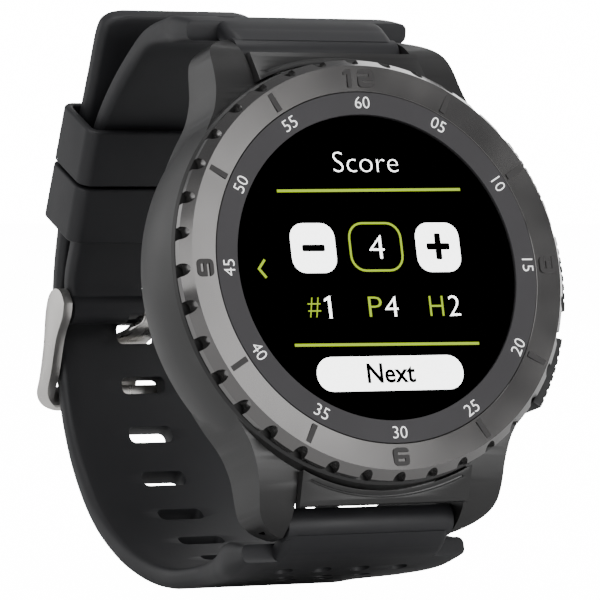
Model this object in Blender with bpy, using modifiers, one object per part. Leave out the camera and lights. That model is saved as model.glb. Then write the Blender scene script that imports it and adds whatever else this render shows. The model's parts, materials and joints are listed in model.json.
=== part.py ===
"""Golf GPS watch: a round watch head on a buckled silicone strap.

Every place below is a triple (across, depth, up) in the dial's own axes: across runs to
3 o'clock, depth runs from the glass towards the wrist, and up runs to 12 o'clock.
The whole watch leans back on one empty, whose origin is the centre of the case back.
Run with: blender --background --python part.py
"""
import math

import bmesh
import bpy
from mathutils import Vector

LEAN = math.radians(13.78)
BACK_DEPTH = 0.0150
GAP = 0.0003
HALF_TURN = math.pi
FINE_STEPS = 60
MEDIUM_STEPS = 32
SMALL_STEPS = 12
SPLINE_PIECES = 3

# watch head, radii and depths
RING_INNER_R = 0.01795
RING_R = 0.0204
BEZEL_INNER_R = 0.0206
BEZEL_FACE_R = 0.0237
BEZEL_R = 0.0247
BEZEL_DEPTH = 0.0024
BEZEL_RIM_DEPTH = 0.0014
NOTCH_COUNT = 36
NOTCH_HALF_WIDTH = 0.00075
NOTCH_FLOOR_R = 0.02395
NOTCH_TOP_DEPTH = 0.0003
CASE_R = 0.0249
CASE_REAR_R = 0.0246
CASE_FRONT_DEPTH = 0.0027
CASE_REAR_DEPTH = 0.0125
CAVITY_R = 0.0206
SHELF_R = 0.0175
SHELF_DEPTH = 0.0037
SCREW_CIRCLE_R = 0.0225
LUG_GAP_HALF = 0.0110
LUG_TOOL_HALF = 0.0240
POCKET_Z = 0.0241
POCKET_DEPTH = 0.0066

# side buttons
BUTTON_NAMES = ("upper", "middle", "lower")
BUTTON_STEP = math.radians(26.5)
BUTTON_DEPTH = 0.0072
BUTTON_HALF_ARC = math.radians(9.6)
BUTTON_INNER_R = 0.0259
BUTTON_OUTER_R = 0.0271
BUTTON_HALF_HEIGHT = 0.0022
STEM_R = 0.00115
STEM_END_R = 0.0200

# spring bars, straps and buckle, as (depth, up)
LUG_BAR = (0.0106, 0.0278)
BAR_R = 0.00075
BARREL_R = 0.0019
BUCKLE_BAR = (0.0620, 0.0088)
BUCKLE_HALF = 0.0125
BUCKLE_GAP_HALF = 0.0113
STRAP_HALF = 0.0110
SHOULDER_HALF = 0.0145
STRAP_THICK = 0.0025
SLOT_LENGTH = 0.0060
SLOT_HEIGHT = 0.0022
USED_SLOT_HEIGHT = 0.0026
SLOT_PITCH = 0.0068
FIRST_SLOT_SHIFT = -0.0015
KEEPER_FOOT = (0.0629, 0.0192)
KEEPER_ANGLE = math.radians(37.8)
KEEPER_HALF = 0.0130
KEEPER_INNER_OUT = -0.0087
KEEPER_OUTER_OUT = 0.0010
KEEPER_WALL = 0.0011
KEEPER_LENGTH = 0.0073

DARK_PLASTIC = ("case_plastic", (0.055, 0.053, 0.056), 0.45, 0.0)
CERAMIC = ("bezel_ceramic", (0.14, 0.145, 0.165), 0.12, 0.7)
RING_PAINT = ("ring_satin", (0.05, 0.048, 0.052), 0.4, 0.0)
GLASS = ("cover_glass", (0.005, 0.005, 0.006), 0.03, 0.0)
SILICONE = ("strap_silicone", (0.016, 0.016, 0.018), 0.6, 0.0)
STEEL = ("buckle_steel", (0.62, 0.60, 0.57), 0.25, 1.0)
BAR_STEEL = ("bar_steel", (0.55, 0.55, 0.56), 0.3, 1.0)
SCREW_STEEL = ("screw_steel", (0.35, 0.35, 0.37), 0.35, 1.0)
BUTTON_PLASTIC = ("button_plastic", (0.02, 0.02, 0.022), 0.4, 0.0)
SEAL_RUBBER = ("seal_rubber", (0.02, 0.02, 0.02), 0.7, 0.0)
BOARD_GREEN = ("board_laminate", (0.02, 0.10, 0.05), 0.5, 0.0)
SHIELD_TIN = ("shield_tin", (0.6, 0.6, 0.58), 0.35, 1.0)
CELL_FOIL = ("battery_foil", (0.5, 0.5, 0.52), 0.4, 0.6)
CERAMIC_PATCH = ("antenna_ceramic", (0.6, 0.55, 0.45), 0.6, 0.0)
FLEX_AMBER = ("flex_film", (0.45, 0.2, 0.03), 0.4, 0.0)
GOLD = ("contact_gold", (0.8, 0.6, 0.25), 0.25, 1.0)
SENSOR_DARK = ("sensor_window", (0.02, 0.02, 0.025), 0.08, 0.0)

PARTS = None
CUTTERS = None
AXES = None


def clear_scene():
    """Take every object out of the open scene."""
    for old in list(bpy.data.objects):
        bpy.data.objects.remove(old, do_unlink=True)


def make_collection(name):
    """Add a collection to the scene and return it."""
    made = bpy.data.collections.new(name)
    bpy.context.scene.collection.children.link(made)
    return made


def make_axes():
    """The dial's axes: an empty that leans back, with its origin at the case back."""
    lean = bpy.data.objects.new("watch_lean", None)
    lean.rotation_euler = (-LEAN, 0, 0)
    PARTS.objects.link(lean)
    axes = bpy.data.objects.new("dial_axes", None)
    axes.location = (0, -BACK_DEPTH, 0)
    axes.parent = lean
    PARTS.objects.link(axes)
    return axes


def pivot(name, place, turn=0.0):
    """An empty on a joint's axis, turned about the depth axis."""
    empty = bpy.data.objects.new(name, None)
    empty.location = place
    empty.rotation_euler = (0, -turn, 0)
    empty.parent = AXES
    PARTS.objects.link(empty)
    return empty


def hang(piece, empty):
    """Move a piece from the dial's axes to a pivot without moving it in space."""
    piece.parent = empty
    piece.location -= empty.location


def material(finish):
    """Return the Principled material of a (name, colour, roughness, metallic) finish."""
    name, colour, roughness, metallic = finish
    found = bpy.data.materials.get(name)
    if found:
        return found
    made = bpy.data.materials.new(name)
    made.use_nodes = True
    shader = made.node_tree.nodes["Principled BSDF"]
    shader.inputs["Base Color"].default_value = (*colour, 1)
    shader.inputs["Roughness"].default_value = roughness
    shader.inputs["Metallic"].default_value = metallic
    return made


def add_mesh(name, shape, finish=None, parent=None):
    """Turn a bmesh into an object: a part when it has a finish, else a cutter."""
    mesh = bpy.data.meshes.new(name)
    shape.to_mesh(mesh)
    shape.free()
    made = bpy.data.objects.new(name, mesh)
    made.parent = parent or AXES
    if finish:
        mesh.materials.append(material(finish))
        PARTS.objects.link(made)
    else:
        made.hide_render = True
        made.display_type = "WIRE"
        CUTTERS.objects.link(made)
    return made


def boolean(target, tool, operation="DIFFERENCE"):
    """Cut, join or intersect one object with another."""
    step = target.modifiers.new(tool.name, "BOOLEAN")
    step.operation = operation
    step.solver = "EXACT"
    step.object = tool


def bevel(target, width, segments=1, angle=40):
    """Round the sharp edges of an object."""
    step = target.modifiers.new("edges", "BEVEL")
    step.width = width
    step.segments = segments
    step.limit_method = "ANGLE"
    step.angle_limit = math.radians(angle)


def smooth(target):
    """Shade round sides smooth and keep the sharp edges."""
    target.data.shade_smooth()
    target.data.set_sharp_from_angle(angle=math.radians(35))


def box(name, low, high, finish=None, parent=None, turn=0.0):
    """A block between two corners, turned about the depth axis through the dial centre."""
    shape = bmesh.new()
    bmesh.ops.create_cube(shape, size=1.0)
    centre = [(a + b) / 2 for a, b in zip(low, high)]
    size = [abs(b - a) for a, b in zip(low, high)]
    bmesh.ops.scale(shape, vec=size, verts=shape.verts)
    bmesh.ops.translate(shape, vec=centre, verts=shape.verts)
    made = add_mesh(name, shape, finish, parent)
    made.rotation_euler = (0, -turn, 0)
    return made


def rod(name, start, end, radius, finish=None, parent=None, steps=SMALL_STEPS):
    """A round bar between two points."""
    first = Vector(start)
    along = Vector(end) - first
    shape = bmesh.new()
    bmesh.ops.create_cone(shape, cap_ends=True, segments=steps, radius1=radius,
                          radius2=radius, depth=along.length)
    turn = along.to_track_quat("Z", "Y").to_matrix()
    bmesh.ops.rotate(shape, cent=(0, 0, 0), matrix=turn, verts=shape.verts)
    bmesh.ops.translate(shape, vec=first + along / 2, verts=shape.verts)
    made = add_mesh(name, shape, finish, parent)
    if finish:
        smooth(made)
    return made


def turned(name, profile, finish=None, closed=True, steps=FINE_STEPS, centre=(0, 0)):
    """A body turned about the depth axis from (radius, depth) points.

    The outer side of the profile runs from the deep end to the glass end.
    """
    shape = bmesh.new()
    points = [shape.verts.new((radius, 0, depth)) for radius, depth in profile]
    for first, second in zip(points, points[1:]):
        shape.edges.new((first, second))
    if closed:
        shape.edges.new((points[-1], points[0]))
    made = add_mesh(name, shape, finish)
    made.location = (centre[0], 0, centre[1])
    made.rotation_euler = (-HALF_TURN / 2, 0, 0)
    screw = made.modifiers.new("turn", "SCREW")
    screw.axis = "Z"
    screw.steps = steps
    screw.render_steps = steps
    screw.use_merge_vertices = True
    screw.merge_threshold = 0.00001
    screw.use_smooth_shade = False
    return made


def plate(name, outline, low, high, plane="dial", finish=None, parent=None):
    """A flat outline given thickness, on the dial plane or on the side plane."""
    shape = bmesh.new()
    if plane == "dial":
        corners = [shape.verts.new((x, low, z)) for x, z in outline]
        thickness = Vector((0, high - low, 0))
    else:
        corners = [shape.verts.new((low, depth, z)) for depth, z in outline]
        thickness = Vector((high - low, 0, 0))
    face = shape.faces.new(corners)
    grown = bmesh.ops.extrude_face_region(shape, geom=[face])
    moved = [item for item in grown["geom"] if isinstance(item, bmesh.types.BMVert)]
    bmesh.ops.translate(shape, vec=thickness, verts=moved)
    bmesh.ops.recalc_face_normals(shape, faces=shape.faces)
    return add_mesh(name, shape, finish, parent)


def spline(points, pieces):
    """Smooth curve values through rows of numbers (a Catmull-Rom curve)."""
    rows = []
    last = len(points) - 1
    for index in range(last):
        before = points[max(index - 1, 0)]
        start = points[index]
        end = points[index + 1]
        after = points[min(index + 2, last)]
        for piece in range(pieces):
            t = piece / pieces
            row = []
            for a, b, c, d in zip(before, start, end, after):
                slope = c - a
                bend = 2 * a - 5 * b + 4 * c - d
                twist = 3 * b - 3 * c + d - a
                row.append(b + 0.5 * (slope * t + bend * t * t + twist * t ** 3))
            rows.append(tuple(row))
    rows.append(tuple(points[-1]))
    return rows


def path_normal(rows, index):
    """The unit normal of a (depth, up) path at one row, on its left-hand side."""
    before = rows[max(index - 1, 0)]
    after = rows[min(index + 1, len(rows) - 1)]
    run = Vector((after[0] - before[0], after[1] - before[1])).normalized()
    return Vector((-run.y, run.x))


def ring_points(radius, start, end, count):
    """Points along an arc on the dial plane, angles from 3 o'clock."""
    rows = []
    for index in range(count + 1):
        angle = start + (end - start) * index / count
        rows.append((radius * math.cos(angle), radius * math.sin(angle)))
    return rows


def make_bezel():
    """The fixed bezel ring with its notched rim."""
    profile = [
        (BEZEL_INNER_R, BEZEL_DEPTH), (BEZEL_R, BEZEL_DEPTH), (BEZEL_R, BEZEL_RIM_DEPTH),
        (BEZEL_FACE_R, 0.0), (BEZEL_INNER_R + 0.0002, 0.0), (BEZEL_INNER_R, 0.0002),
    ]
    ring = turned("bezel", profile, CERAMIC, steps=72)
    for index in range(NOTCH_COUNT):
        angle = math.radians(90 - index * 360 / NOTCH_COUNT)
        outline = [(0.0262, -NOTCH_HALF_WIDTH), (0.0262, NOTCH_HALF_WIDTH)]
        for step in range(5):
            bend = HALF_TURN / 2 - HALF_TURN * step / 4
            outline.append((NOTCH_FLOOR_R + NOTCH_HALF_WIDTH * (1 - math.cos(bend)),
                            NOTCH_HALF_WIDTH * math.sin(bend)))
        tool = plate(f"notch_cutter_{index + 1}", outline, NOTCH_TOP_DEPTH, 0.0030)
        tool.rotation_euler = (0, -angle, 0)
        boolean(ring, tool)
    smooth(ring)


def make_front():
    """Minute ring, glass, gasket and display, stacked on the case's shelf."""
    ring = turned("minute_ring", [
        (RING_INNER_R, 0.0009), (RING_R, 0.0009), (RING_R, 0.0002), (RING_INNER_R, 0.0003)],
        RING_PAINT)
    glass = turned("cover_glass", [
        (0, 0.0019), (0.0198, 0.0019), (0.0198, 0.0011), (0.01775, 0.0011),
        (0.01775, 0.00035), (0.0172, 0.00015), (0, 0.00012)], GLASS, closed=False)
    gasket = turned("glass_gasket", [
        (0.0180, 0.0025), (0.0195, 0.0025), (0.0195, 0.0021), (0.0180, 0.0021)],
        SEAL_RUBBER, steps=MEDIUM_STEPS)
    panel = turned("display_panel", [
        (0, 0.0034), (0.0172, 0.0034), (0.0172, 0.0021), (0, 0.0021)],
        SENSOR_DARK, closed=False, steps=MEDIUM_STEPS)
    for piece in (ring, glass, gasket, panel):
        smooth(piece)


def lug_outline(side):
    """Plan of one end of the case: two flared lugs and the web between them."""
    flank = [(0.0200, 0.0148), (0.0186, 0.0166), (0.0177, 0.0180), (0.0169, 0.0194),
             (0.0164, 0.0208), (0.0160, 0.0224), (0.0158, 0.0240), (0.0156, 0.0256),
             (0.0153, 0.0268), (0.0146, 0.0278), (0.0133, 0.0287), (0.0118, 0.0293),
             (LUG_GAP_HALF, 0.0294), (LUG_GAP_HALF, POCKET_Z)]
    right = [(x, side * z) for x, z in flank]
    left = [(-x, side * z) for x, z in reversed(flank)]
    return [(0.0190, side * 0.0100)] + right + left + [(-0.0190, side * 0.0100)]


def lug_slope(side):
    """Side view of what the lugs' sloping fronts lack, as (depth, up) points."""
    slope = [(0.0027, 0.0150), (0.0034, 0.0170), (0.0040, 0.0195), (0.0046, 0.0222),
             (0.0054, 0.0247), (0.0065, 0.0266), (0.0080, 0.0281), (0.0098, 0.0292),
             (0.0112, 0.0299), (0.0122, 0.0305)]
    rows = [(depth, side * z) for depth, z in slope]
    return rows + [(0.0122, side * 0.0340), (-0.0020, side * 0.0340),
                   (-0.0020, side * 0.0150)]


def lug_belly(side):
    """Side view of the space behind the lugs, which droop towards the wrist."""
    rows = [(CASE_REAR_DEPTH - 0.00005, 0.0090), (0.0121, 0.0180), (0.0119, 0.0220),
            (0.0122, 0.0255), (0.0126, 0.0282), (0.0126, 0.0300)]
    return [(depth, side * z) for depth, z in rows] + [
        (0.0126, side * 0.0340), (0.0200, side * 0.0340), (0.0200, side * 0.0090)]


def make_lug_block(name, side):
    """One end of the case before it is joined to the drum."""
    block = plate(f"{name}_lug_block", lug_outline(side), CASE_FRONT_DEPTH + 0.00007,
                  0.0150)
    slope = plate(f"{name}_slope_cutter", lug_slope(side), -LUG_TOOL_HALF, LUG_TOOL_HALF, "side")
    belly = plate(f"{name}_belly_cutter", lug_belly(side), -LUG_TOOL_HALF, LUG_TOOL_HALF, "side")
    boolean(block, slope)
    boolean(block, belly)
    return block


def make_case():
    """The moulded mid case: drum, lugs, shelf, and every hole through the wall."""
    case = turned("mid_case", [
        (0, CASE_REAR_DEPTH), (CASE_REAR_R - 0.0004, CASE_REAR_DEPTH),
        (CASE_REAR_R, CASE_REAR_DEPTH - 0.0005), (0.02515, 0.0070),
        (CASE_R, CASE_FRONT_DEPTH + 0.0002), (CASE_R - 0.0002, CASE_FRONT_DEPTH),
        (0, CASE_FRONT_DEPTH)], DARK_PLASTIC, closed=False)
    for name, side in (("upper", 1), ("lower", -1)):
        boolean(case, make_lug_block(name, side), "UNION")
        pocket = box(f"{name}_pocket_cutter", (-LUG_GAP_HALF, POCKET_DEPTH - 0.0002, side * POCKET_Z),
                     (LUG_GAP_HALF, 0.0200, side * 0.0400))
        seat = plate(f"{name}_seat_cutter",
                     panel_outline(side, LUG_GAP_HALF - 0.00004, 0.02519, 0.0350),
                     0.0010, POCKET_DEPTH)
        boolean(case, pocket)
        boolean(case, seat)
        hole = rod(f"{name}_bar_hole_cutter", (-0.0135, LUG_BAR[0], side * LUG_BAR[1]),
                   (0.0135, LUG_BAR[0], side * LUG_BAR[1]), 0.00105)
        boolean(case, hole)
    cavity = turned("cavity_cutter", [
        (0, 0.0140), (CAVITY_R, 0.0140), (CAVITY_R, SHELF_DEPTH), (SHELF_R, SHELF_DEPTH),
        (SHELF_R, 0.0020), (0, 0.0020)], closed=False)
    boolean(case, cavity)
    cover_seat = rod("cover_seat_cutter", (0, CASE_REAR_DEPTH - 0.0001, 0), (0, 0.0200, 0), 0.0239,
                     steps=FINE_STEPS)
    boolean(case, cover_seat)
    for index, name in enumerate(BUTTON_NAMES):
        angle = BUTTON_STEP * (1 - index)
        bore = rod(f"{name}_stem_hole_cutter", (0.0180, BUTTON_DEPTH, 0),
                   (0.0270, BUTTON_DEPTH, 0), STEM_R + 0.00025)
        bore.rotation_euler = (0, -angle, 0)
        boolean(case, bore)
    for index in range(4):
        angle = math.radians(45 + 90 * index)
        place = (SCREW_CIRCLE_R * math.cos(angle), SCREW_CIRCLE_R * math.sin(angle))
        bore = rod(f"screw_hole_cutter_{index + 1}", (place[0], 0.0080, place[1]),
                   (place[0], 0.0140, place[1]), 0.00085, steps=8)
        boolean(case, bore)
    smooth(case)


def panel_outline(side, half, radius, reach):
    """Crescent between the drum's rim and a straight edge, across the lug gap."""
    swing = math.asin(half / radius)
    rim = [(z, side * x) for x, z in ring_points(radius, swing, -swing, 14)]
    return rim + [(-half, side * reach), (half, side * reach)]


def make_end_panel(name, side):
    """The thin moulded panel between two lugs, closing the case down to the strap."""
    outline = panel_outline(side, LUG_GAP_HALF - 0.0002, 0.02525, 0.0266)
    panel = plate(f"end_panel_{name}", outline, 0.0024, 0.0063, finish=DARK_PLASTIC)
    slope = [(0.0000, 0.0195), (0.0027, 0.0218), (0.0040, 0.0241), (0.0050, 0.0261),
             (0.0058, 0.0280), (0.0000, 0.0280)]
    tool = plate(f"{name}_panel_slope_cutter", [(d, side * z) for d, z in slope],
                 -0.020, 0.020, "side")
    boolean(panel, tool)
    smooth(panel)


def make_rear():
    """Rear cover, its gasket and screws, the sensor window and charging pins."""
    cover = turned("rear_cover", [
        (0, BACK_DEPTH), (0.0165, BACK_DEPTH), (0.0205, 0.0146), (0.0232, 0.0137),
        (0.0236, 0.0132), (0.0236, 0.0128), (0.0200, 0.0128), (0.0200, 0.0120),
        (0, 0.0120)], DARK_PLASTIC, closed=False)
    gasket = turned("rear_gasket", [
        (0.02015, 0.0126), (0.0205, 0.0126), (0.0205, 0.0122), (0.02015, 0.0122)],
        SEAL_RUBBER, steps=MEDIUM_STEPS)
    well = rod("window_well_cutter", (0, 0.0136, 0), (0, 0.0200, 0), 0.0058, steps=MEDIUM_STEPS)
    boolean(cover, well)
    window = turned("sensor_window", [
        (0, BACK_DEPTH), (0.0055, BACK_DEPTH), (0.0055, 0.0139), (0, 0.0139)],
        SENSOR_DARK, closed=False, steps=MEDIUM_STEPS)
    for index in range(4):
        angle = math.radians(45 + 90 * index)
        x = SCREW_CIRCLE_R * math.cos(angle)
        z = SCREW_CIRCLE_R * math.sin(angle)
        bore = rod(f"rear_screw_cutter_{index + 1}", (x, 0.0110, z), (x, 0.0200, z), 0.0011,
                   steps=8)
        boolean(cover, bore)
        make_screw(f"rear_screw_{index + 1}", (x, z), 0.0133, 0.0090, 0.00085, 0.00060)
    for index in range(4):
        x = 0.0025 * (index - 1.5)
        bore = rod(f"pin_hole_cutter_{index + 1}", (x, 0.0110, -0.0100),
                   (x, 0.0200, -0.0100), 0.00105, steps=8)
        boolean(cover, bore)
        pin = rod(f"charge_pin_{index + 1}", (x, 0.0120, -0.0100), (x, 0.0149, -0.0100),
                  0.0008, GOLD, steps=10)
        smooth(pin)
    for piece in (cover, gasket, window):
        smooth(piece)


def make_screw(name, place, head_depth, end_depth, head_r, shank_r):
    """A pan head screw with a cross recess, driven in from the wrist side."""
    screw = turned(name, [
        (0, head_depth), (head_r, head_depth), (head_r, head_depth - 0.0006),
        (shank_r, head_depth - 0.0006), (shank_r, end_depth), (0, end_depth)],
        SCREW_STEEL, closed=False, steps=10, centre=place)
    for arm in range(2):
        tool = box(f"{name}_recess_{arm + 1}",
                   (-0.0005, head_depth - 0.00025, -0.00013),
                   (0.0005, head_depth + 0.0010, 0.00013), turn=arm * HALF_TURN / 2)
        tool.location = (place[0], 0, place[1])
        boolean(screw, tool)
    smooth(screw)


def make_inside():
    """The electronics sealed in the case, stacked behind the display."""
    chassis = turned("inner_chassis", [
        (0.0160, 0.0050), (0.0202, 0.0050), (0.0202, 0.0040), (0.0160, 0.0040)],
        BUTTON_PLASTIC, steps=MEDIUM_STEPS)
    window = box("chassis_window_cutter", (-0.0190, 0.0030, -0.0032),
                 (-0.0150, 0.0060, 0.0032))
    boolean(chassis, window)
    smooth(chassis)
    board = turned("main_board", [
        (0, 0.0062), (0.0192, 0.0062), (0.0192, 0.0053), (0, 0.0053)], BOARD_GREEN,
        closed=False, steps=MEDIUM_STEPS)
    smooth(board)
    box("board_shield", (-0.0130, 0.0065, -0.0095), (0.0010, 0.0078, 0.0090), SHIELD_TIN)
    box("processor", (0.0035, 0.0065, -0.0030), (0.0095, 0.0076, 0.0030), SENSOR_DARK)
    cell = box("battery", (-0.0120, 0.0082, -0.0090), (0.0120, 0.0114, 0.0088), CELL_FOIL)
    bevel(cell, 0.0006)
    box("gps_antenna", (-0.0055, 0.0065, 0.0105), (0.0040, 0.0095, 0.0170), CERAMIC_PATCH)
    motor = turned("vibration_motor", [
        (0, 0.0092), (0.0040, 0.0092), (0.0040, 0.0065), (0, 0.0065)], SHIELD_TIN,
        closed=False, steps=24, centre=(0, -0.0145))
    smooth(motor)
    ribbon = [(0.0037, -0.0150), (0.0037, -0.0182), (0.0050, -0.0182), (0.0050, -0.0150),
              (0.0048, -0.0150), (0.0048, -0.0180), (0.0039, -0.0180), (0.0039, -0.0150)]
    outline = [(across, depth) for depth, across in ribbon]
    make_flex(outline)
    for index, name in enumerate(BUTTON_NAMES):
        angle = BUTTON_STEP * (1 - index)
        switch = box(f"tact_switch_{name}", (0.0163, 0.0065, -0.0016),
                     (0.0190, 0.0081, 0.0016), SHIELD_TIN, turn=angle)
        tip = rod(f"{name}_switch_tip", (0.0185, BUTTON_DEPTH, 0),
                  (0.0192, BUTTON_DEPTH, 0), 0.0005, steps=8)
        tip.rotation_euler = (0, -angle, 0)
        boolean(switch, tip, "UNION")


def make_flex(outline):
    """The folded ribbon that joins the display to the board."""
    shape = bmesh.new()
    corners = [shape.verts.new((across, depth, -0.0025)) for across, depth in outline]
    face = shape.faces.new(corners)
    grown = bmesh.ops.extrude_face_region(shape, geom=[face])
    moved = [item for item in grown["geom"] if isinstance(item, bmesh.types.BMVert)]
    bmesh.ops.translate(shape, vec=(0, 0, 0.0050), verts=moved)
    bmesh.ops.recalc_face_normals(shape, faces=shape.faces)
    add_mesh("display_flex", shape, FLEX_AMBER)


def make_button(name, angle):
    """One pusher with its stem, seal and clip, on an empty turned to its own direction."""
    axis = pivot(f"button_{name}_axis", (0, 0, 0), angle)
    outer = ring_points(BUTTON_OUTER_R, -BUTTON_HALF_ARC, BUTTON_HALF_ARC, 10)
    inner = ring_points(BUTTON_INNER_R, BUTTON_HALF_ARC, -BUTTON_HALF_ARC, 10)
    cap = plate(f"button_{name}", outer + inner, BUTTON_DEPTH - BUTTON_HALF_HEIGHT,
                BUTTON_DEPTH + BUTTON_HALF_HEIGHT, finish=BUTTON_PLASTIC, parent=axis)
    bevel(cap, 0.0005)
    stem = rod(f"{name}_stem", (STEM_END_R, BUTTON_DEPTH, 0), (0.0265, BUTTON_DEPTH, 0),
               STEM_R, steps=20)
    neck = turned_on_axis(f"{name}_groove_cutter", [
        (0.0009, 0.0003), (0.0020, 0.0003), (0.0020, -0.0003), (0.0009, -0.0003)], 0.0203)
    for tool in (stem, neck):
        tool.parent = axis
    boolean(stem, neck)
    boolean(cap, stem, "UNION")
    smooth(cap)
    seal = turned_on_axis(f"button_seal_{name}", [
        (0.00120, 0.00028), (0.00136, 0.00028), (0.00136, -0.00028), (0.00120, -0.00028)],
        0.0225, SEAL_RUBBER)
    clip = turned_on_axis(f"button_clip_{name}", [
        (0.00100, 0.00013), (0.00180, 0.00013), (0.00180, -0.00013),
        (0.00100, -0.00013)], 0.0203, SCREW_STEEL)
    for piece in (seal, clip):
        piece.parent = axis
        smooth(piece)


def turned_on_axis(name, profile, reach, finish=None):
    """A small ring turned about a button's stem, centred at a reach from the dial centre."""
    made = turned(name, profile, finish, steps=20)
    made.rotation_euler = (0, HALF_TURN / 2, 0)
    made.location = (reach, BUTTON_DEPTH, 0)
    return made


def lug_bar(name, side, tip_reach):
    """A spring bar in a strap barrel: a tube body with a thinner tip at each end."""
    depth = LUG_BAR[0]
    up = side * LUG_BAR[1]
    bar = rod(name, (-0.0098, depth, up), (0.0098, depth, up), BAR_R, BAR_STEEL)
    tips = rod(f"{name}_tips", (-tip_reach, depth, up), (tip_reach, depth, up), 0.0005)
    boolean(bar, tips, "UNION")
    smooth(bar)


def band(name, rows, finish):
    """A strap lofted through (depth, up, thickness, half width) rows with round edges."""
    shape = bmesh.new()
    rings = []
    for index, (depth, up, thick, half) in enumerate(rows):
        normal = path_normal(rows, index)
        edge = thick * 0.32
        corners = [(half, edge * 0.5), (half - edge * 0.35, thick / 2 - edge * 0.25),
                   (half - edge, thick / 2)]
        quarter = corners + [(-across, out) for across, out in reversed(corners)]
        full = quarter + [(-across, -out) for across, out in quarter]
        ring = []
        for across, out in full:
            ring.append(shape.verts.new((across, depth + normal.x * out, up + normal.y * out)))
        rings.append(ring)
    count = len(rings[0])
    for first, second in zip(rings, rings[1:]):
        for index in range(count):
            after = (index + 1) % count
            shape.faces.new((first[index], first[after], second[after], second[index]))
    shape.faces.new(list(reversed(rings[0])))
    shape.faces.new(rings[-1])
    bmesh.ops.recalc_face_normals(shape, faces=shape.faces)
    return add_mesh(name, shape, finish)


def keeper_point(along, out):
    """A (depth, up) place on the keepers' straight run: along it, and outwards from it."""
    depth = KEEPER_FOOT[0] - along * math.sin(KEEPER_ANGLE) + out * math.cos(KEEPER_ANGLE)
    up = KEEPER_FOOT[1] + along * math.cos(KEEPER_ANGLE) + out * math.sin(KEEPER_ANGLE)
    return depth, up


def square_shoulders(rows, first_wide):
    """Narrow the end that sits between the lugs, with a square step at the shoulders."""
    stepped = []
    for index, row in enumerate(rows):
        if index < first_wide:
            stepped.append((*row[:3], LUG_GAP_HALF - GAP))
            continue
        if index == first_wide:
            near = [a + 0.8 * (b - a) for a, b in zip(rows[index - 1], row)]
            stepped.append((*near[:3], LUG_GAP_HALF - GAP))
        stepped.append(row)
    return stepped


def buckle_strap_rows():
    """Middle line of the short strap, from the upper lugs to the buckle bar."""
    wide = SHOULDER_HALF
    inner = -0.0053
    low = keeper_point(0.0020, inner)
    middle = keeper_point(0.0100, inner)
    high = keeper_point(0.0165, -0.0059)
    rows = [
        (0.0106, 0.0282, 0.0034, wide), (0.0118, 0.0298, 0.0030, wide),
        (0.0134, 0.0314, 0.0024, wide), (0.0180, 0.0328, 0.0032, wide),
        (0.0232, 0.0341, 0.0031, 0.0130), (0.0300, 0.0352, STRAP_THICK, 0.0119),
        (0.0360, 0.0347, STRAP_THICK, STRAP_HALF), (0.0425, 0.0321, STRAP_THICK, STRAP_HALF),
        (*high, STRAP_THICK, STRAP_HALF), (*middle, STRAP_THICK, STRAP_HALF),
        (*low, STRAP_THICK, STRAP_HALF), (0.0612, 0.0126, STRAP_THICK, STRAP_HALF),
        (0.0620, 0.0092, 0.0027, 0.0107),
    ]
    return square_shoulders(spline(rows, SPLINE_PIECES), 2 * SPLINE_PIECES)


def hole_strap_rows():
    """Middle line of the long strap, from the lower lugs round to its free tip."""
    wide = SHOULDER_HALF
    outer = -STRAP_THICK / 2
    rows = [
        (0.0106, -0.0282, 0.0034, wide), (0.0120, -0.0296, 0.0030, wide),
        (0.0138, -0.0305, 0.0022, wide), (0.0190, -0.0302, 0.0040, wide),
        (0.0250, -0.0303, 0.0032, 0.0128), (0.0330, -0.0298, STRAP_THICK, STRAP_HALF),
        (0.0410, -0.0289, STRAP_THICK, STRAP_HALF), (0.0482, -0.0266, STRAP_THICK, STRAP_HALF),
        (0.0547, -0.0230, STRAP_THICK, STRAP_HALF), (0.0605, -0.0178, STRAP_THICK, STRAP_HALF),
        (0.0642, -0.0115, STRAP_THICK, STRAP_HALF), (0.0660, -0.0052, STRAP_THICK, STRAP_HALF),
        (0.0664, 0.0010, STRAP_THICK, STRAP_HALF), (0.0662, 0.0070, STRAP_THICK, STRAP_HALF),
        (0.0647, 0.0130, STRAP_THICK, STRAP_HALF),
        (*keeper_point(0.0010, outer), STRAP_THICK, 0.0111),
        (*keeper_point(0.0080, outer), STRAP_THICK, 0.0111),
        (*keeper_point(0.0150, outer), STRAP_THICK, 0.0110),
        (*keeper_point(0.0220, outer), STRAP_THICK, 0.0109),
        (*keeper_point(0.0278, outer), STRAP_THICK, 0.0108),
        (*keeper_point(0.0294, outer), 0.0024, 0.0099),
        (*keeper_point(0.0299, outer), 0.0021, 0.0082),
    ]
    return square_shoulders(spline(rows, SPLINE_PIECES), 2 * SPLINE_PIECES)


def strap_barrel(strap, name, depth, up):
    """Join a round barrel to a strap's end and bore it for its bar."""
    half = LUG_GAP_HALF - GAP
    barrel = rod(f"{name}_barrel", (-half, depth, up), (half, depth, up), BARREL_R,
                 steps=20)
    bore = rod(f"{name}_bar_bore_cutter", (-0.02, depth, up), (0.02, depth, up),
               BAR_R + 0.00025)
    boolean(strap, barrel, "UNION")
    boolean(strap, bore)


def length_along(rows):
    """Running length of a path at each of its rows."""
    lengths = [0.0]
    for first, second in zip(rows, rows[1:]):
        step = math.hypot(second[0] - first[0], second[1] - first[1])
        lengths.append(lengths[-1] + step)
    return lengths


def place_at(rows, lengths, wanted):
    """The (depth, up) place and normal of a path at a running length."""
    for index in range(len(rows) - 1):
        if lengths[index + 1] >= wanted:
            share = (wanted - lengths[index]) / (lengths[index + 1] - lengths[index])
            depth = rows[index][0] + share * (rows[index + 1][0] - rows[index][0])
            up = rows[index][1] + share * (rows[index + 1][1] - rows[index][1])
            return depth, up, path_normal(rows, index)
    return rows[-1][0], rows[-1][1], path_normal(rows, len(rows) - 1)


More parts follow.
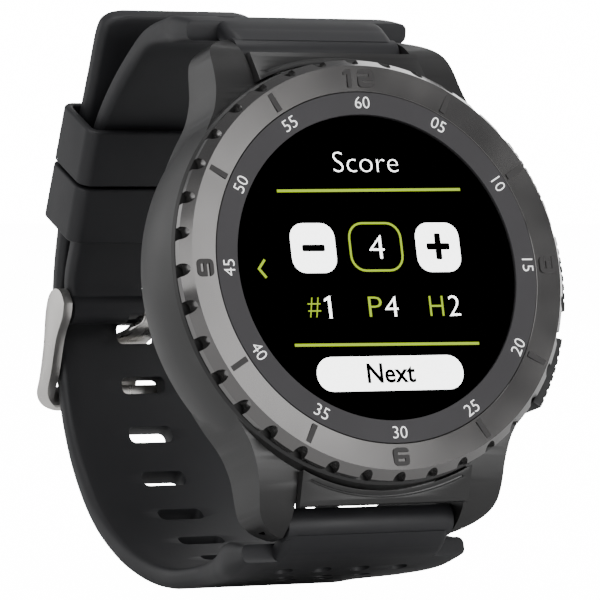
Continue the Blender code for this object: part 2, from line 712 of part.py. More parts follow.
def make_straps():
    """Both strap halves, with the tongue's notch and the long one's adjustment slots."""
    short = band("buckle_strap", buckle_strap_rows(), SILICONE)
    strap_barrel(short, "upper", *LUG_BAR)
    strap_barrel(short, "buckle", *BUCKLE_BAR)
    stem_notch = box("stem_notch_cutter", (-0.0011, 0.0580, 0.0040), (0.0011, 0.0660, 0.0116))
    blade_notch = box("blade_notch_cutter", (-0.0031, 0.0581, 0.0039),
                      (0.0031, 0.0661, 0.0077))
    boolean(short, stem_notch)
    boolean(short, blade_notch)
    rows = hole_strap_rows()
    long = band("hole_strap", rows, SILICONE)
    strap_barrel(long, "lower", LUG_BAR[0], -LUG_BAR[1])
    lengths = length_along(rows)
    home = min(range(len(rows)), key=lambda index: math.hypot(
        rows[index][0] - 0.0664, rows[index][1] - 0.0010))
    first = lengths[home] + FIRST_SLOT_SHIFT
    for index in range(-5, 4):
        depth, up, normal = place_at(rows, lengths, first + index * SLOT_PITCH)
        height = USED_SLOT_HEIGHT if index == 1 else SLOT_HEIGHT
        make_slot(long, f"slot_cutter_{index + 6}", (depth, up), normal, height)
    for piece in (short, long):
        smooth(piece)


def make_slot(strap, name, place, normal, height):
    """Cut one soft-cornered slot through the strap at a place on its path."""
    radius = 0.0008
    outline = []
    for corner, (across, up) in enumerate(((1, 1), (-1, 1), (-1, -1), (1, -1))):
        for step in range(3):
            angle = HALF_TURN / 2 * (corner + step / 2)
            outline.append((across * (SLOT_LENGTH / 2 - radius) + radius * math.cos(angle),
                            up * (height / 2 - radius) + radius * math.sin(angle)))
    tool = plate(name, outline, -0.0030, 0.0030)
    tool.location = (0, place[0], place[1])
    tool.rotation_euler = (math.atan2(normal.y, normal.x), 0, 0)
    boolean(strap, tool)


def keeper_outline(half, low_out, high_out, corner):
    """A rectangle with cut corners across the strap, outwards pointing down."""
    right = [(half - corner, -low_out), (half, -low_out - corner), (half, corner - high_out),
             (half - corner, -high_out)]
    return right + [(-across, out) for across, out in reversed(right)]


def make_keeper(name, start, parent=None):
    """A rubber loop round both strap layers, on the straight run behind the wrist."""
    outer = keeper_outline(KEEPER_HALF, KEEPER_INNER_OUT, KEEPER_OUTER_OUT, 0.0009)
    inner = keeper_outline(KEEPER_HALF - KEEPER_WALL, KEEPER_INNER_OUT + KEEPER_WALL,
                           KEEPER_OUTER_OUT - KEEPER_WALL + 0.0002, 0.0005)
    keeper = plate(name, outer, start, start + KEEPER_LENGTH, finish=SILICONE)
    opening = plate(f"{name}_opening_cutter", inner, start - 0.0010,
                    start + KEEPER_LENGTH + 0.0010)
    for piece in (keeper, opening):
        piece.location = (0, *KEEPER_FOOT)
        piece.rotation_euler = (HALF_TURN / 2 + KEEPER_ANGLE, 0, 0)
    boolean(keeper, opening)
    bevel(keeper, 0.00025, 1, 60)
    smooth(keeper)
    if parent:
        hang(keeper, parent)
        hang(opening, parent)


def make_buckle():
    """The pin buckle: frame, tongue and the spring bar that both turn on."""
    axis = pivot("buckle_axis", (0, *BUCKLE_BAR))
    bar_half = BUCKLE_HALF - GAP
    bar = rod("spring_bar_buckle", (-bar_half, *BUCKLE_BAR), (bar_half, *BUCKLE_BAR), BAR_R,
              BAR_STEEL)
    smooth(bar)
    side_view = [
        (0.0594, 0.0090), (0.0602, 0.0107), (0.0619, 0.0114), (0.0637, 0.0109),
        (0.0652, 0.0090), (0.0668, 0.0052), (0.0688, 0.0018), (0.0703, -0.0001),
        (0.0706, -0.0016), (0.0698, -0.0026), (0.0686, -0.0024), (0.0676, -0.0010),
        (0.0655, 0.0012), (0.0628, 0.0052), (0.0603, 0.0074)]
    frame = plate("buckle_frame", side_view, -BUCKLE_HALF, BUCKLE_HALF, "side", STEEL)
    gap_outline = [(0.0500, 0.0200), (0.0700, 0.0200), (0.0770, 0.0002),
                   (0.0683, 0.0002), (0.0680, -0.0060), (0.0500, -0.0060)]
    opening = plate("buckle_opening_cutter", gap_outline, -BUCKLE_GAP_HALF,
                    BUCKLE_GAP_HALF, "side")
    bore = rod("buckle_bore_cutter", (-0.0140, *BUCKLE_BAR), (0.0140, *BUCKLE_BAR),
               BAR_R + 0.00015)
    boolean(frame, opening)
    boolean(frame, bore)
    for side in (-1, 1):
        boolean(frame, corner_cutter(side))
    bevel(frame, 0.0003)
    tongue = make_tongue()
    for piece in (frame, tongue):
        smooth(piece)
        hang(piece, axis)


def corner_cutter(side):
    """What a lower corner of the buckle frame lacks, seen along the depth axis."""
    radius = 0.0030
    low = -0.0027
    outline = [(side * 0.0150, low + radius), (side * 0.0150, -0.0060),
               (side * (BUCKLE_HALF - radius), -0.0060)]
    for step in range(5):
        angle = HALF_TURN / 2 * step / 4
        outline.append((side * (BUCKLE_HALF - radius + radius * math.sin(angle)),
                        low + radius - radius * math.cos(angle)))
    return plate(f"buckle_corner_cutter_{side + 2}", outline, 0.0600, 0.0800)


def make_tongue():
    """The tongue: a roll on the bar and a blade bent through the slot onto the front bar."""
    rows = [
        (0.0613, 0.0080, 0.0008, 0.0008), (0.0615, 0.0070, 0.0008, 0.0012),
        (0.0621, 0.0064, 0.0008, 0.0025), (0.0632, 0.0061, 0.0008, 0.0026),
        (0.0650, 0.0061, 0.0008, 0.0026), (0.0668, 0.0061, 0.0008, 0.0026),
        (0.0683, 0.0055, 0.0008, 0.0024), (0.0695, 0.0038, 0.0008, 0.0021),
        (0.0706, 0.0017, 0.0008, 0.0018), (0.0713, -0.0004, 0.0008, 0.0015),
        (0.0715, -0.0022, 0.0007, 0.0011)]
    tongue = band("buckle_tongue", spline(rows, 2), STEEL)
    roll = rod("tongue_roll", (-0.0008, *BUCKLE_BAR), (0.0008, *BUCKLE_BAR), 0.0014,
               steps=24)
    bore = rod("tongue_bore_cutter", (-0.0060, *BUCKLE_BAR), (0.0060, *BUCKLE_BAR),
               BAR_R + 0.00015)
    boolean(tongue, roll, "UNION")
    boolean(tongue, bore)
    return tongue


clear_scene()
PARTS = make_collection("golf_gps_watch")
CUTTERS = make_collection("cutters")
AXES = make_axes()
make_bezel()
make_front()
make_case()
make_end_panel("upper", 1)
make_end_panel("lower", -1)
make_rear()
make_inside()
for order, button in enumerate(BUTTON_NAMES):
    make_button(button, BUTTON_STEP * (1 - order))
lug_bar("spring_bar_upper", 1, 0.0128)
lug_bar("spring_bar_lower", -1, 0.0104)
make_straps()
make_keeper("fixed_keeper", 0.0020)
make_keeper("free_keeper", 0.0097, pivot("free_keeper_axis", (0, *keeper_point(0.0134, 0))))
make_buckle()
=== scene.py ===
"""Looks for the golf GPS watch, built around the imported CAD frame.

Places are (across, depth, up) in the dial's axes, in metres: across runs to 3 o'clock,
depth runs from the bezel's face towards the wrist, and up runs to 12 o'clock.
"""
import json
import math

import bmesh
import bpy
from mathutils import Matrix, Vector


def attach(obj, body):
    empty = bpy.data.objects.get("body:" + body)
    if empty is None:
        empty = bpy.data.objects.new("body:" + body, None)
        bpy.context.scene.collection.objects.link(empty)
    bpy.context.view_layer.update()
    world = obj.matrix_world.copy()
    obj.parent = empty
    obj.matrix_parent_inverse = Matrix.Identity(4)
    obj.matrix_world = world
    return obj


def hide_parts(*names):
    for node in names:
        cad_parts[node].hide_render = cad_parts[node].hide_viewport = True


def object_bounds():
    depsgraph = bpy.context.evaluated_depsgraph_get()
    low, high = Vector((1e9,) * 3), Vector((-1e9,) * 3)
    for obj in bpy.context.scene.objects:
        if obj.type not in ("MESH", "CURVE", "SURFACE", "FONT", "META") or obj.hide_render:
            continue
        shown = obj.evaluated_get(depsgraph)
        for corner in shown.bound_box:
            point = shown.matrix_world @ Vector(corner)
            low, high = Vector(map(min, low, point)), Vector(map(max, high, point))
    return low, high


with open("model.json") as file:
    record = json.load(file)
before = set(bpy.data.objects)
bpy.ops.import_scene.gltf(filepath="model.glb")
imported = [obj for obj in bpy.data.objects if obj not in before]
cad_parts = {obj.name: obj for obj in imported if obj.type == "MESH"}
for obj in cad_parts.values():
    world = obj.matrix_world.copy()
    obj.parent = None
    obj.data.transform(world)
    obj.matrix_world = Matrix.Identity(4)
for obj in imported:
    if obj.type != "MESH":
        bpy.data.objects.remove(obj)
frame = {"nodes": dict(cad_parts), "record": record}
cad_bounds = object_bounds()

# the dial's axes, from the record's mount on the case back
BACK = frame["record"]["mounts"][0]
DEPTH_AXIS = Vector(BACK["axis"]).normalized()
ACROSS_AXIS = Vector((1, 0, 0))
UP_AXIS = ACROSS_AXIS.cross(DEPTH_AXIS)
BEZEL_POINTS = [vertex.co for vertex in frame["nodes"]["bezel"].data.vertices]
BACK_DEPTH = -min((p - Vector(BACK["pos_m"])).dot(DEPTH_AXIS) for p in BEZEL_POINTS)
DIAL_CENTRE = Vector(BACK["pos_m"]) - DEPTH_AXIS * BACK_DEPTH
DIAL = Matrix.Translation(DIAL_CENTRE) @ Matrix(
    (ACROSS_AXIS, DEPTH_AXIS, UP_AXIS)).transposed().to_4x4()

HALF_TURN = math.pi
QUARTER_TURN = math.pi / 2
ROUND_STEPS = 180
SMALL_STEPS = 24

# watch head
RING_INNER_R = 0.01795
RING_R = 0.02055
BEZEL_INNER_R = 0.0206
BEZEL_FACE_R = 0.0237
BEZEL_R = 0.0247
BEZEL_DEPTH = 0.0024
BEZEL_RIM_DEPTH = 0.0014
BEZEL_DISH = 0.00018
NOTCH_COUNT = 36
NOTCH_HALF_WIDTH = 0.00075
NOTCH_FLOOR_R = 0.02388
NOTCH_TOP_DEPTH = 0.00018
NOTCH_TOOL_R = 0.0262
NOTCH_TOOL_DEPTH = 0.0030
BEZEL_STEPS = 8 * NOTCH_COUNT
HOUR_R = 0.02218
MARK_DEPTH = 0.00002
MINUTE_R = 0.01934
MINUTE_SHIFT = 0.00022     # the numbers sit this far right of the ring's middle
CASE_R = 0.0249
CASE_REAR_R = 0.0246
CASE_FRONT_DEPTH = 0.0027
CASE_REAR_DEPTH = 0.0125
CAVITY_R = 0.0206
SHELF_R = 0.0175
SHELF_DEPTH = 0.0037
LUG_GAP_HALF = 0.0110
LUG_TOOL_HALF = 0.0240
POCKET_Z = 0.0241
POCKET_DEPTH = 0.0066
SCREW_CIRCLE_R = 0.0225
SCREW_BORE_R = 0.0011
PIN_PITCH = 0.0025
PIN_Z = -0.0100
PIN_HOLE_R = 0.00105
GROOVE_INNER_R = 0.02572
GROOVE_OUTER_R = 0.02600
GROOVE_HALF = 0.0098

# buttons
BUTTON_NAMES = ("upper", "middle", "lower")
BUTTON_STEP = math.radians(26.5)
BUTTON_DEPTH = 0.0072
BUTTON_HALF_ARC = math.radians(9.6)
BUTTON_INNER_R = 0.0259
BUTTON_OUTER_R = 0.0271
BUTTON_HALF_HEIGHT = 0.0022
STEM_R = 0.00115
RIB_R = 0.00022
RIB_STEP = BUTTON_HALF_ARC / 4.2

# straps and buckle, as (depth, up)
LUG_BAR = (0.0106, 0.0278)
BAR_R = 0.00075
BAR_HOLE_R = 0.00105
BAR_HOLE_HALF = 0.0135
BARREL_R = 0.0019
BUCKLE_BAR = (0.0620, 0.0088)
STRAP_HALF = 0.0110
SHOULDER_HALF = 0.0145
STRAP_THICK = 0.0025
LUG_CLEARANCE = 0.0003
SLOT_LENGTH = 0.0060
SLOT_HEIGHT = 0.0022
USED_SLOT_HEIGHT = 0.0026
SLOT_PITCH = 0.0068
FIRST_SLOT_SHIFT = -0.0015
SLOTS_START = (0.0664, 0.0010)
KEEPER_FOOT = (0.0629, 0.0192)
KEEPER_ANGLE = math.radians(37.8)
KEEPER_HALF = 0.0130
KEEPER_INNER_OUT = -0.0087
KEEPER_OUTER_OUT = 0.0010
KEEPER_WALL = 0.0011
KEEPER_LENGTH = 0.0073
KEEPER_STARTS = {"fixed": 0.0020, "free": 0.0097}     # along the keepers' straight run
BUCKLE_HALF = 0.0125
BUCKLE_GAP_HALF = 0.0113
BUCKLE_BAR_HALF = 0.0120
STRAP_PIECES = 8           # curve steps between two rows of a strap
BARREL_FLATS = ((-0.0077, -0.0062), (-0.0035, 0.0019))
DIMPLE_DEPTHS = (0.0174, 0.0227, 0.0270)
DIMPLE_PITCH = 0.0050

# the screen's flat marks, a hair above the glass
INK_THICK = 0.00004
INK_DEPTH = 0.00023
BLACK_INK_DEPTH = INK_DEPTH - INK_THICK
MINUS_X = -0.00817
PLUS_X = 0.0080
STEPPER_Z = 0.0022
LABEL_Z = -0.0047
CAPITAL_SHARE = 0.729      # capital height of the built-in font at size 1

# studio
AMBIENT = 0.24
BACKDROP = 16.0
FLOOR_GLOW = 15.0
FLOOR_BOUNCE = 0.85
FLOOR_R = 6.0
FLOOR_GAP = 0.0002
CAMERA_LENS = 283.5
CAMERA_SPOT = Vector((-0.2552, -0.4759, 0.0088))      # from the dial's centre
CAMERA_FORWARD = Vector((0.4575, 0.8889, -0.0235))

COLLECTION = bpy.context.scene.collection
MATERIALS = {}


def add_object(name, data, place=None):
    """Put a new object in the scene, at a place in the row frame."""
    made = bpy.data.objects.new(name, data)
    made.matrix_world = place or Matrix.Identity(4)
    COLLECTION.objects.link(made)
    return made


def shown_mesh(made):
    """A new mesh of an object with its modifiers applied."""
    bpy.context.view_layer.update()
    seen = made.evaluated_get(bpy.context.evaluated_depsgraph_get())
    return bpy.data.meshes.new_from_object(seen)


def bake(made):
    """Apply an object's modifiers and its place, leaving a plain mesh in the row frame."""
    mesh = shown_mesh(made)
    mesh.transform(made.matrix_world)
    name = made.name
    bpy.data.objects.remove(made, do_unlink=True)
    return add_object(name, mesh)


def add_mesh(name, shape, place=None):
    """Turn a bmesh in the dial's axes into an object."""
    mesh = bpy.data.meshes.new(name)
    shape.to_mesh(mesh)
    shape.free()
    return add_object(name, mesh, DIAL @ (place or Matrix.Identity(4)))


def turn_in_dial(angle):
    """A turn about the depth axis, anticlockwise on the dial from 3 o'clock."""
    return Matrix.Rotation(-angle, 4, "Y")


def boolean(target, tool, operation="DIFFERENCE"):
    """Cut or join one object with another, then take the tool away."""
    step = target.modifiers.new(tool.name, "BOOLEAN")
    step.operation = operation
    step.solver = "EXACT"
    step.object = tool
    mesh = shown_mesh(target)
    target.modifiers.clear()
    target.data = mesh
    bpy.data.objects.remove(tool, do_unlink=True)


def bevel(target, width, segments=2, angle=35):
    """Round an object's sharp edges."""
    step = target.modifiers.new("edges", "BEVEL")
    step.width = width
    step.segments = segments
    step.limit_method = "ANGLE"
    step.angle_limit = math.radians(angle)


def smooth(target, angle=38):
    """Shade round sides smooth and keep the sharp edges."""
    target.data.shade_smooth()
    target.data.set_sharp_from_angle(angle=math.radians(angle))


def finish_piece(made, look, body, *nodes, slot=None, angle=38):
    """Give a piece its material and say which body it rides on and what it replaces.

    The slot argument is not used.
    """
    plain = bake(made)
    plain.data.materials.clear()
    plain.data.materials.append(MATERIALS[look])
    smooth(plain, angle)
    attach(plain, body)
    if nodes:
        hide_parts(*nodes)


def arc(radius, start, end, steps, centre=(0.0, 0.0)):
    """Points round a centre from one angle to another, both ends included."""
    rows = []
    for step in range(steps + 1):
        angle = start + (end - start) * step / steps
        rows.append((centre[0] + radius * math.cos(angle), centre[1] + radius * math.sin(angle)))
    return rows


def skin(name, rings, closed=False):
    """Join rings of points with quads: round to the first ring, or capped at both ends."""
    shape = bmesh.new()
    loops = [[shape.verts.new(spot) for spot in ring] for ring in rings]
    count = len(loops[0])
    following = loops[1:] + loops[:1] if closed else loops[1:]
    for first, second in zip(loops, following):
        for index in range(count):
            after = (index + 1) % count
            shape.faces.new((first[index], first[after], second[after], second[index]))
    if not closed:
        shape.faces.new(list(reversed(loops[0])))
        shape.faces.new(loops[-1])
    bmesh.ops.recalc_face_normals(shape, faces=shape.faces)
    return add_mesh(name, shape)


def box(name, low, high, place=None):
    """A block between two corners."""
    shape = bmesh.new()
    bmesh.ops.create_cube(shape, size=1.0)
    centre = [(a + b) / 2 for a, b in zip(low, high)]
    size = [abs(b - a) for a, b in zip(low, high)]
    bmesh.ops.scale(shape, vec=size, verts=shape.verts)
    bmesh.ops.translate(shape, vec=centre, verts=shape.verts)
    return add_mesh(name, shape, place)


def rod(name, start, end, radius, steps=SMALL_STEPS, place=None):
    """A round bar between two points."""
    first = Vector(start)
    along = Vector(end) - first
    shape = bmesh.new()
    bmesh.ops.create_cone(shape, cap_ends=True, segments=steps, radius1=radius,
                          radius2=radius, depth=along.length)
    turn = along.to_track_quat("Z", "Y").to_matrix()
    bmesh.ops.rotate(shape, cent=(0, 0, 0), matrix=turn, verts=shape.verts)
    bmesh.ops.translate(shape, vec=first + along / 2, verts=shape.verts)
    return add_mesh(name, shape, place)


def cross_rod(name, half, spot, radius, steps=SMALL_STEPS):
    """A round bar that runs across the watch at a (depth, up) spot."""
    return rod(name, (-half, *spot), (half, *spot), radius, steps)


def turned(name, profile, steps=ROUND_STEPS, place=None):
    """A solid turned about the depth axis from (radius, depth) points.

    The outer side of the profile runs from the deep end to the glass end; a profile that
    starts and ends at radius 0 is a full body, and any other closes into a ring.
    """
    shape = bmesh.new()
    closed = profile[0][0] > 0
    columns = []
    for index in range(steps):
        angle = 2 * HALF_TURN * index / steps
        column = []
        for radius, depth in profile:
            spot = (radius * math.cos(angle), depth, radius * math.sin(angle))
            column.append(shape.verts.new(spot) if radius else None)
        columns.append(column)
    for row, (radius, depth) in enumerate(profile):
        if radius == 0:
            pole = shape.verts.new((0, depth, 0))
            for column in columns:
                column[row] = pole
    count = len(profile)
    last = count if closed else count - 1
    for first, second in zip(columns, columns[1:] + columns[:1]):
        for row in range(last):
            after = (row + 1) % count
            corners = (first[row], first[after], second[after], second[row])
            unique = list(dict.fromkeys(corners))
            if len(unique) > 2:
                shape.faces.new(unique)
    bmesh.ops.recalc_face_normals(shape, faces=shape.faces)
    return add_mesh(name, shape, place)


def plate(name, outline, low, high, plane="dial", place=None):
    """A flat outline given thickness, on the dial plane or on the side plane."""
    shape = bmesh.new()
    if plane == "dial":
        corners = [shape.verts.new((x, low, z)) for x, z in outline]
        thickness = Vector((0, high - low, 0))
    else:
        corners = [shape.verts.new((low, depth, z)) for depth, z in outline]
        thickness = Vector((high - low, 0, 0))
    face = shape.faces.new(corners)
    grown = bmesh.ops.extrude_face_region(shape, geom=[face])
    moved = [item for item in grown["geom"] if isinstance(item, bmesh.types.BMVert)]
    bmesh.ops.translate(shape, vec=thickness, verts=moved)
    bmesh.ops.recalc_face_normals(shape, faces=shape.faces)
    return add_mesh(name, shape, place)


def spline(points, pieces):
    """Smooth curve values through rows of numbers (a Catmull-Rom curve)."""
    rows = []
    last = len(points) - 1
    for index in range(last):
        before = points[max(index - 1, 0)]
        start = points[index]
        end = points[index + 1]
        after = points[min(index + 2, last)]
        for piece in range(pieces):
            t = piece / pieces
            row = []
            for a, b, c, d in zip(before, start, end, after):
                slope = c - a
                bend = 2 * a - 5 * b + 4 * c - d
                twist = 3 * b - 3 * c + d - a
                row.append(b + 0.5 * (slope * t + bend * t * t + twist * t ** 3))
            rows.append(tuple(row))
    rows.append(tuple(points[-1]))
    return rows


def path_normal(rows, index):
    """The unit normal of a (depth, up) path at one row, on its left-hand side."""
    before = rows[max(index - 1, 0)]
    after = rows[min(index + 1, len(rows) - 1)]
    run = Vector((after[0] - before[0], after[1] - before[1])).normalized()
    return Vector((-run.y, run.x))


def length_along(rows):
    """Running length of a path at each of its rows."""
    lengths = [0.0]
    for first, second in zip(rows, rows[1:]):
        lengths.append(lengths[-1] + math.dist(first[:2], second[:2]))
    return lengths


def place_at(rows, lengths, wanted):
    """The (depth, up) place and normal of a path at a running length."""
    for index in range(len(rows) - 1):
        if lengths[index + 1] >= wanted:
            share = (wanted - lengths[index]) / (lengths[index + 1] - lengths[index])
            depth, up = [a + share * (b - a) for a, b in zip(rows[index][:2], rows[index + 1])]
            return depth, up, path_normal(rows, index)
    return rows[-1][0], rows[-1][1], path_normal(rows, len(rows) - 1)


def frame_shader(look, colour, roughness, metallic=0.0):
    """A new material with its Principled shader's plain values set."""
    made = bpy.data.materials.new(look)
    made.use_nodes = True
    shader = made.node_tree.nodes["Principled BSDF"]
    shader.inputs["Base Color"].default_value = (*colour, 1)
    shader.inputs["Roughness"].default_value = roughness
    shader.inputs["Metallic"].default_value = metallic
    MATERIALS[look] = made
    return made.node_tree, shader


def object_noise(tree, scale, detail, roughness=0.55, stretch=(1.0, 1.0, 1.0)):
    """A noise texture fixed to the object's own axes, and drawn out along some of them."""
    place = tree.nodes.new("ShaderNodeTexCoord")
    spread = tree.nodes.new("ShaderNodeMapping")
    spread.inputs["Scale"].default_value = stretch
    noise = tree.nodes.new("ShaderNodeTexNoise")
    noise.inputs["Scale"].default_value = scale
    noise.inputs["Detail"].default_value = detail
    noise.inputs["Roughness"].default_value = roughness
    tree.links.new(place.outputs["Object"], spread.inputs["Vector"])
    tree.links.new(spread.outputs["Vector"], noise.inputs["Vector"])
    return noise


def mapped(tree, source, low, high):
    """Map a 0.3 to 0.7 noise value onto a low to high range."""
    node = tree.nodes.new("ShaderNodeMapRange")
    limits = {"From Min": 0.3, "From Max": 0.7, "To Min": low, "To Max": high}
    for socket, value in limits.items():
        node.inputs[socket].default_value = value
    tree.links.new(source, node.inputs["Value"])
    return node.outputs["Result"]


def tinted(tree, source, dark, light):
    """A colour that varies between two shades with a noise value."""
    ramp = tree.nodes.new("ShaderNodeValToRGB")
    first, second = ramp.color_ramp.elements
    first.position = 0.35
    first.color = (*dark, 1)
    second.position = 0.68
    second.color = (*light, 1)
    tree.links.new(source, ramp.inputs["Fac"])
    return ramp.outputs["Color"]


def bumped(tree, source, strength, distance):
    """A bump from a height value, in metres."""
    bump = tree.nodes.new("ShaderNodeBump")
    bump.inputs["Strength"].default_value = strength
    bump.inputs["Distance"].default_value = distance
    tree.links.new(source, bump.inputs["Height"])
    return bump.outputs["Normal"]


def grained(look, dark, light, roughness, grain, strength, depth, metallic=0.0):
    """A moulded or rubbed surface: fine grain, slow colour drift and uneven polish."""
    tree, shader = frame_shader(look, light, roughness, metallic)
    slow = object_noise(tree, 90.0, 2.0)
    fine = object_noise(tree, grain, 4.0)
    links = tree.links
    links.new(tinted(tree, slow.outputs["Fac"], dark, light), shader.inputs["Base Color"])
    links.new(mapped(tree, slow.outputs["Fac"], roughness - 0.05, roughness + 0.06),
              shader.inputs["Roughness"])
    links.new(bumped(tree, fine.outputs["Fac"], strength, depth), shader.inputs["Normal"])
    return shader


def brushed(look, dark, light, roughness, stretch):
    """Metal with fine brushing along one axis."""
    tree, shader = frame_shader(look, light, roughness, 1.0)
    noise = object_noise(tree, 900.0, 5.0, 0.5, stretch)
    links = tree.links
    links.new(tinted(tree, noise.outputs["Fac"], dark, light), shader.inputs["Base Color"])
    links.new(mapped(tree, noise.outputs["Fac"], roughness - 0.06, roughness + 0.1),
              shader.inputs["Roughness"])
    links.new(bumped(tree, noise.outputs["Fac"], 0.15, 0.00002), shader.inputs["Normal"])


def lit(look, colour, strength):
    """A glowing colour, a little uneven as a real panel is: the screen's own light, and a painted
    glow on the ring's printed numbers.
    """
    tree, shader = frame_shader(look, (0.0, 0.0, 0.0), 0.3)
    pixels = object_noise(tree, 4000.0, 1.0)
    dim = tuple(part * 0.94 for part in colour)
    tree.links.new(tinted(tree, pixels.outputs["Fac"], dim, colour),
                   shader.inputs["Emission Color"])
    shader.inputs["Emission Strength"].default_value = strength


def make_materials():
    """Every finish on the watch."""
    grained("case_plastic", (0.0135, 0.0132, 0.0132), (0.0165, 0.0160, 0.0160), 0.38, 5200.0,
            0.30, 0.00002)
    ceramic = grained("bezel_ceramic", (0.165, 0.160, 0.158), (0.175, 0.170, 0.167), 0.14,
                      9000.0, 0.02, 0.000004, metallic=0.9)
    ceramic.inputs["Coat Weight"].default_value = 0.35
    ceramic.inputs["Coat Roughness"].default_value = 0.08
    marks = grained("bezel_marks", (0.040, 0.038, 0.038), (0.047, 0.045, 0.045), 0.5, 6000.0,
                    0.2, 0.00001)
    marks.inputs["Specular IOR Level"].default_value = 0.3
    satin = grained("ring_satin", (0.056, 0.054, 0.057), (0.063, 0.061, 0.064), 0.6, 6000.0,
                    0.08, 0.00001)
    satin.inputs["Specular IOR Level"].default_value = 0.15
    # painted glow: the printed minute numbers shine by themselves instead of being lit
    lit("ring_ink_painted_glow", (0.92, 0.92, 0.92), 2.2)
    glass = grained("cover_glass", (0.0, 0.0, 0.0), (0.0002, 0.0002, 0.0002), 0.12, 800.0,
                    0.004, 0.00001)
    glass.inputs["Specular IOR Level"].default_value = 0.0
    grained("strap_silicone", (0.0115, 0.0115, 0.0135), (0.0145, 0.0145, 0.0165), 0.55, 4200.0,
            0.35, 0.00003)
    grained("button_plastic", (0.008, 0.008, 0.0085), (0.011, 0.011, 0.0115), 0.40, 5000.0,
            0.2, 0.00001)
    brushed("buckle_steel", (0.72, 0.70, 0.67), (0.82, 0.80, 0.77), 0.30, (1.0, 0.12, 0.12))
    brushed("bar_steel", (0.50, 0.50, 0.50), (0.68, 0.68, 0.68), 0.26, (0.1, 1.0, 1.0))
    brushed("screw_steel", (0.18, 0.18, 0.19), (0.30, 0.30, 0.32), 0.32, (1.0, 0.4, 1.0))
    brushed("contact_gold", (0.72, 0.50, 0.18), (0.85, 0.63, 0.28), 0.25, (1.0, 0.4, 1.0))
    brushed("shield_tin", (0.45, 0.45, 0.43), (0.6, 0.6, 0.58), 0.35, (1.0, 0.5, 0.3))
    brushed("battery_foil", (0.42, 0.42, 0.44), (0.52, 0.52, 0.54), 0.4, (0.3, 1.0, 1.0))
    grained("sensor_window", (0.010, 0.010, 0.012), (0.016, 0.014, 0.016), 0.1, 900.0, 0.01,
            0.00001)
    grained("seal_rubber", (0.010, 0.010, 0.010), (0.016, 0.016, 0.016), 0.7, 4000.0, 0.3,
            0.00002)
    grained("board_laminate", (0.015, 0.075, 0.040), (0.020, 0.110, 0.055), 0.45, 2500.0, 0.2,
            0.00002)
    grained("antenna_ceramic", (0.50, 0.45, 0.37), (0.62, 0.57, 0.48), 0.6, 3000.0, 0.3,
            0.00002)
    grained("flex_film", (0.36, 0.15, 0.02), (0.47, 0.21, 0.03), 0.35, 1500.0, 0.1, 0.00001)
    lit("screen_white", (0.94, 0.95, 0.95), 5.2)
    lit("screen_green", (0.56, 0.84, 0.0), 1.02)
    make_floor_material()


def make_floor_material():
    """A pale floor that the eye sees almost white and that throws little light back."""
    tree, shader = frame_shader("studio_floor", (0.9, 0.9, 0.9), 0.8)
    noise = object_noise(tree, 60.0, 2.0)
    path = tree.nodes.new("ShaderNodeLightPath")
    shade = tree.nodes.new("ShaderNodeMixRGB")
    shade.inputs["Color1"].default_value = (FLOOR_BOUNCE, FLOOR_BOUNCE, FLOOR_BOUNCE, 1)
    glow = tree.nodes.new("ShaderNodeMath")
    glow.operation = "MULTIPLY"
    glow.inputs[1].default_value = FLOOR_GLOW
    links = tree.links
    links.new(tinted(tree, noise.outputs["Fac"], (0.86, 0.86, 0.86), (0.90, 0.90, 0.90)),
              shade.inputs["Color2"])
    links.new(path.outputs["Is Camera Ray"], shade.inputs["Fac"])
    links.new(shade.outputs["Color"], shader.inputs["Base Color"])
    links.new(path.outputs["Is Camera Ray"], glow.inputs[0])
    links.new(glow.outputs["Value"], shader.inputs["Emission Strength"])
    shader.inputs["Emission Color"].default_value = (1, 1, 1, 1)
    shader.inputs["Specular IOR Level"].default_value = 0.0


def merge(name, parts):
    """Put several loose pieces of one kind in one object."""
    shape = bmesh.new()
    for part in parts:
        mesh = part.data.copy()
        mesh.transform(DIAL.inverted() @ part.matrix_world)
        shape.from_mesh(mesh)
        bpy.data.meshes.remove(mesh)
        bpy.data.objects.remove(part, do_unlink=True)
    return add_mesh(name, shape)


def lettering(name, words, height, centre, turn=0.0, depth=INK_DEPTH, squeeze=0.86,
              weight=-0.020):
    """Flat words standing a hair above the dial, centred, with a given capital height."""
    curve = bpy.data.curves.new(name, "FONT")
    curve.body = words
    curve.align_x = "CENTER"
    curve.align_y = "CENTER"
    curve.size = height / CAPITAL_SHARE
    curve.extrude = INK_THICK / 2
    curve.offset = weight * height
    curve.resolution_u = 3
    font = add_object(name, curve)
    mesh = shown_mesh(font)
    bpy.data.objects.remove(font, do_unlink=True)
    across = [vertex.co.x for vertex in mesh.vertices]
    up = [vertex.co.y for vertex in mesh.vertices]
    middle = ((max(across) + min(across)) / 2, (max(up) + min(up)) / 2)
    mesh.transform(Matrix.Translation((-middle[0], -middle[1], 0)))
    mesh.transform(Matrix.Diagonal((squeeze, 1, 1, 1)))
    stand = Matrix(((1, 0, 0), (0, 0, -1), (0, 1, 0))).to_4x4()
    spot = Matrix.Translation((centre[0], depth, centre[1])) @ turn_in_dial(turn)
    return add_object(name, mesh, DIAL @ spot @ stand)


def rounded(width, height, radius, steps=6):
    """Outline of a rectangle with round corners, centred on the dial plane."""
    rows = []
    for corner in range(4):
        across = (width / 2 - radius) * (1 if corner in (0, 3) else -1)
        up = (height / 2 - radius) * (1 if corner < 2 else -1)
        rows += arc(radius, QUARTER_TURN * corner, QUARTER_TURN * (corner + 1), steps, (across, up))
    return rows


def ink(name, outline, depth=INK_DEPTH):
    """A flat mark on the screen."""
    return plate(name, outline, depth - INK_THICK / 2, depth + INK_THICK / 2)


def badge(name, centre, width, height, radius, depth=INK_DEPTH):
    """A flat screen shape with round corners."""
    outline = [(centre[0] + x, centre[1] + z) for x, z in rounded(width, height, radius)]
    return ink(name, outline, depth)


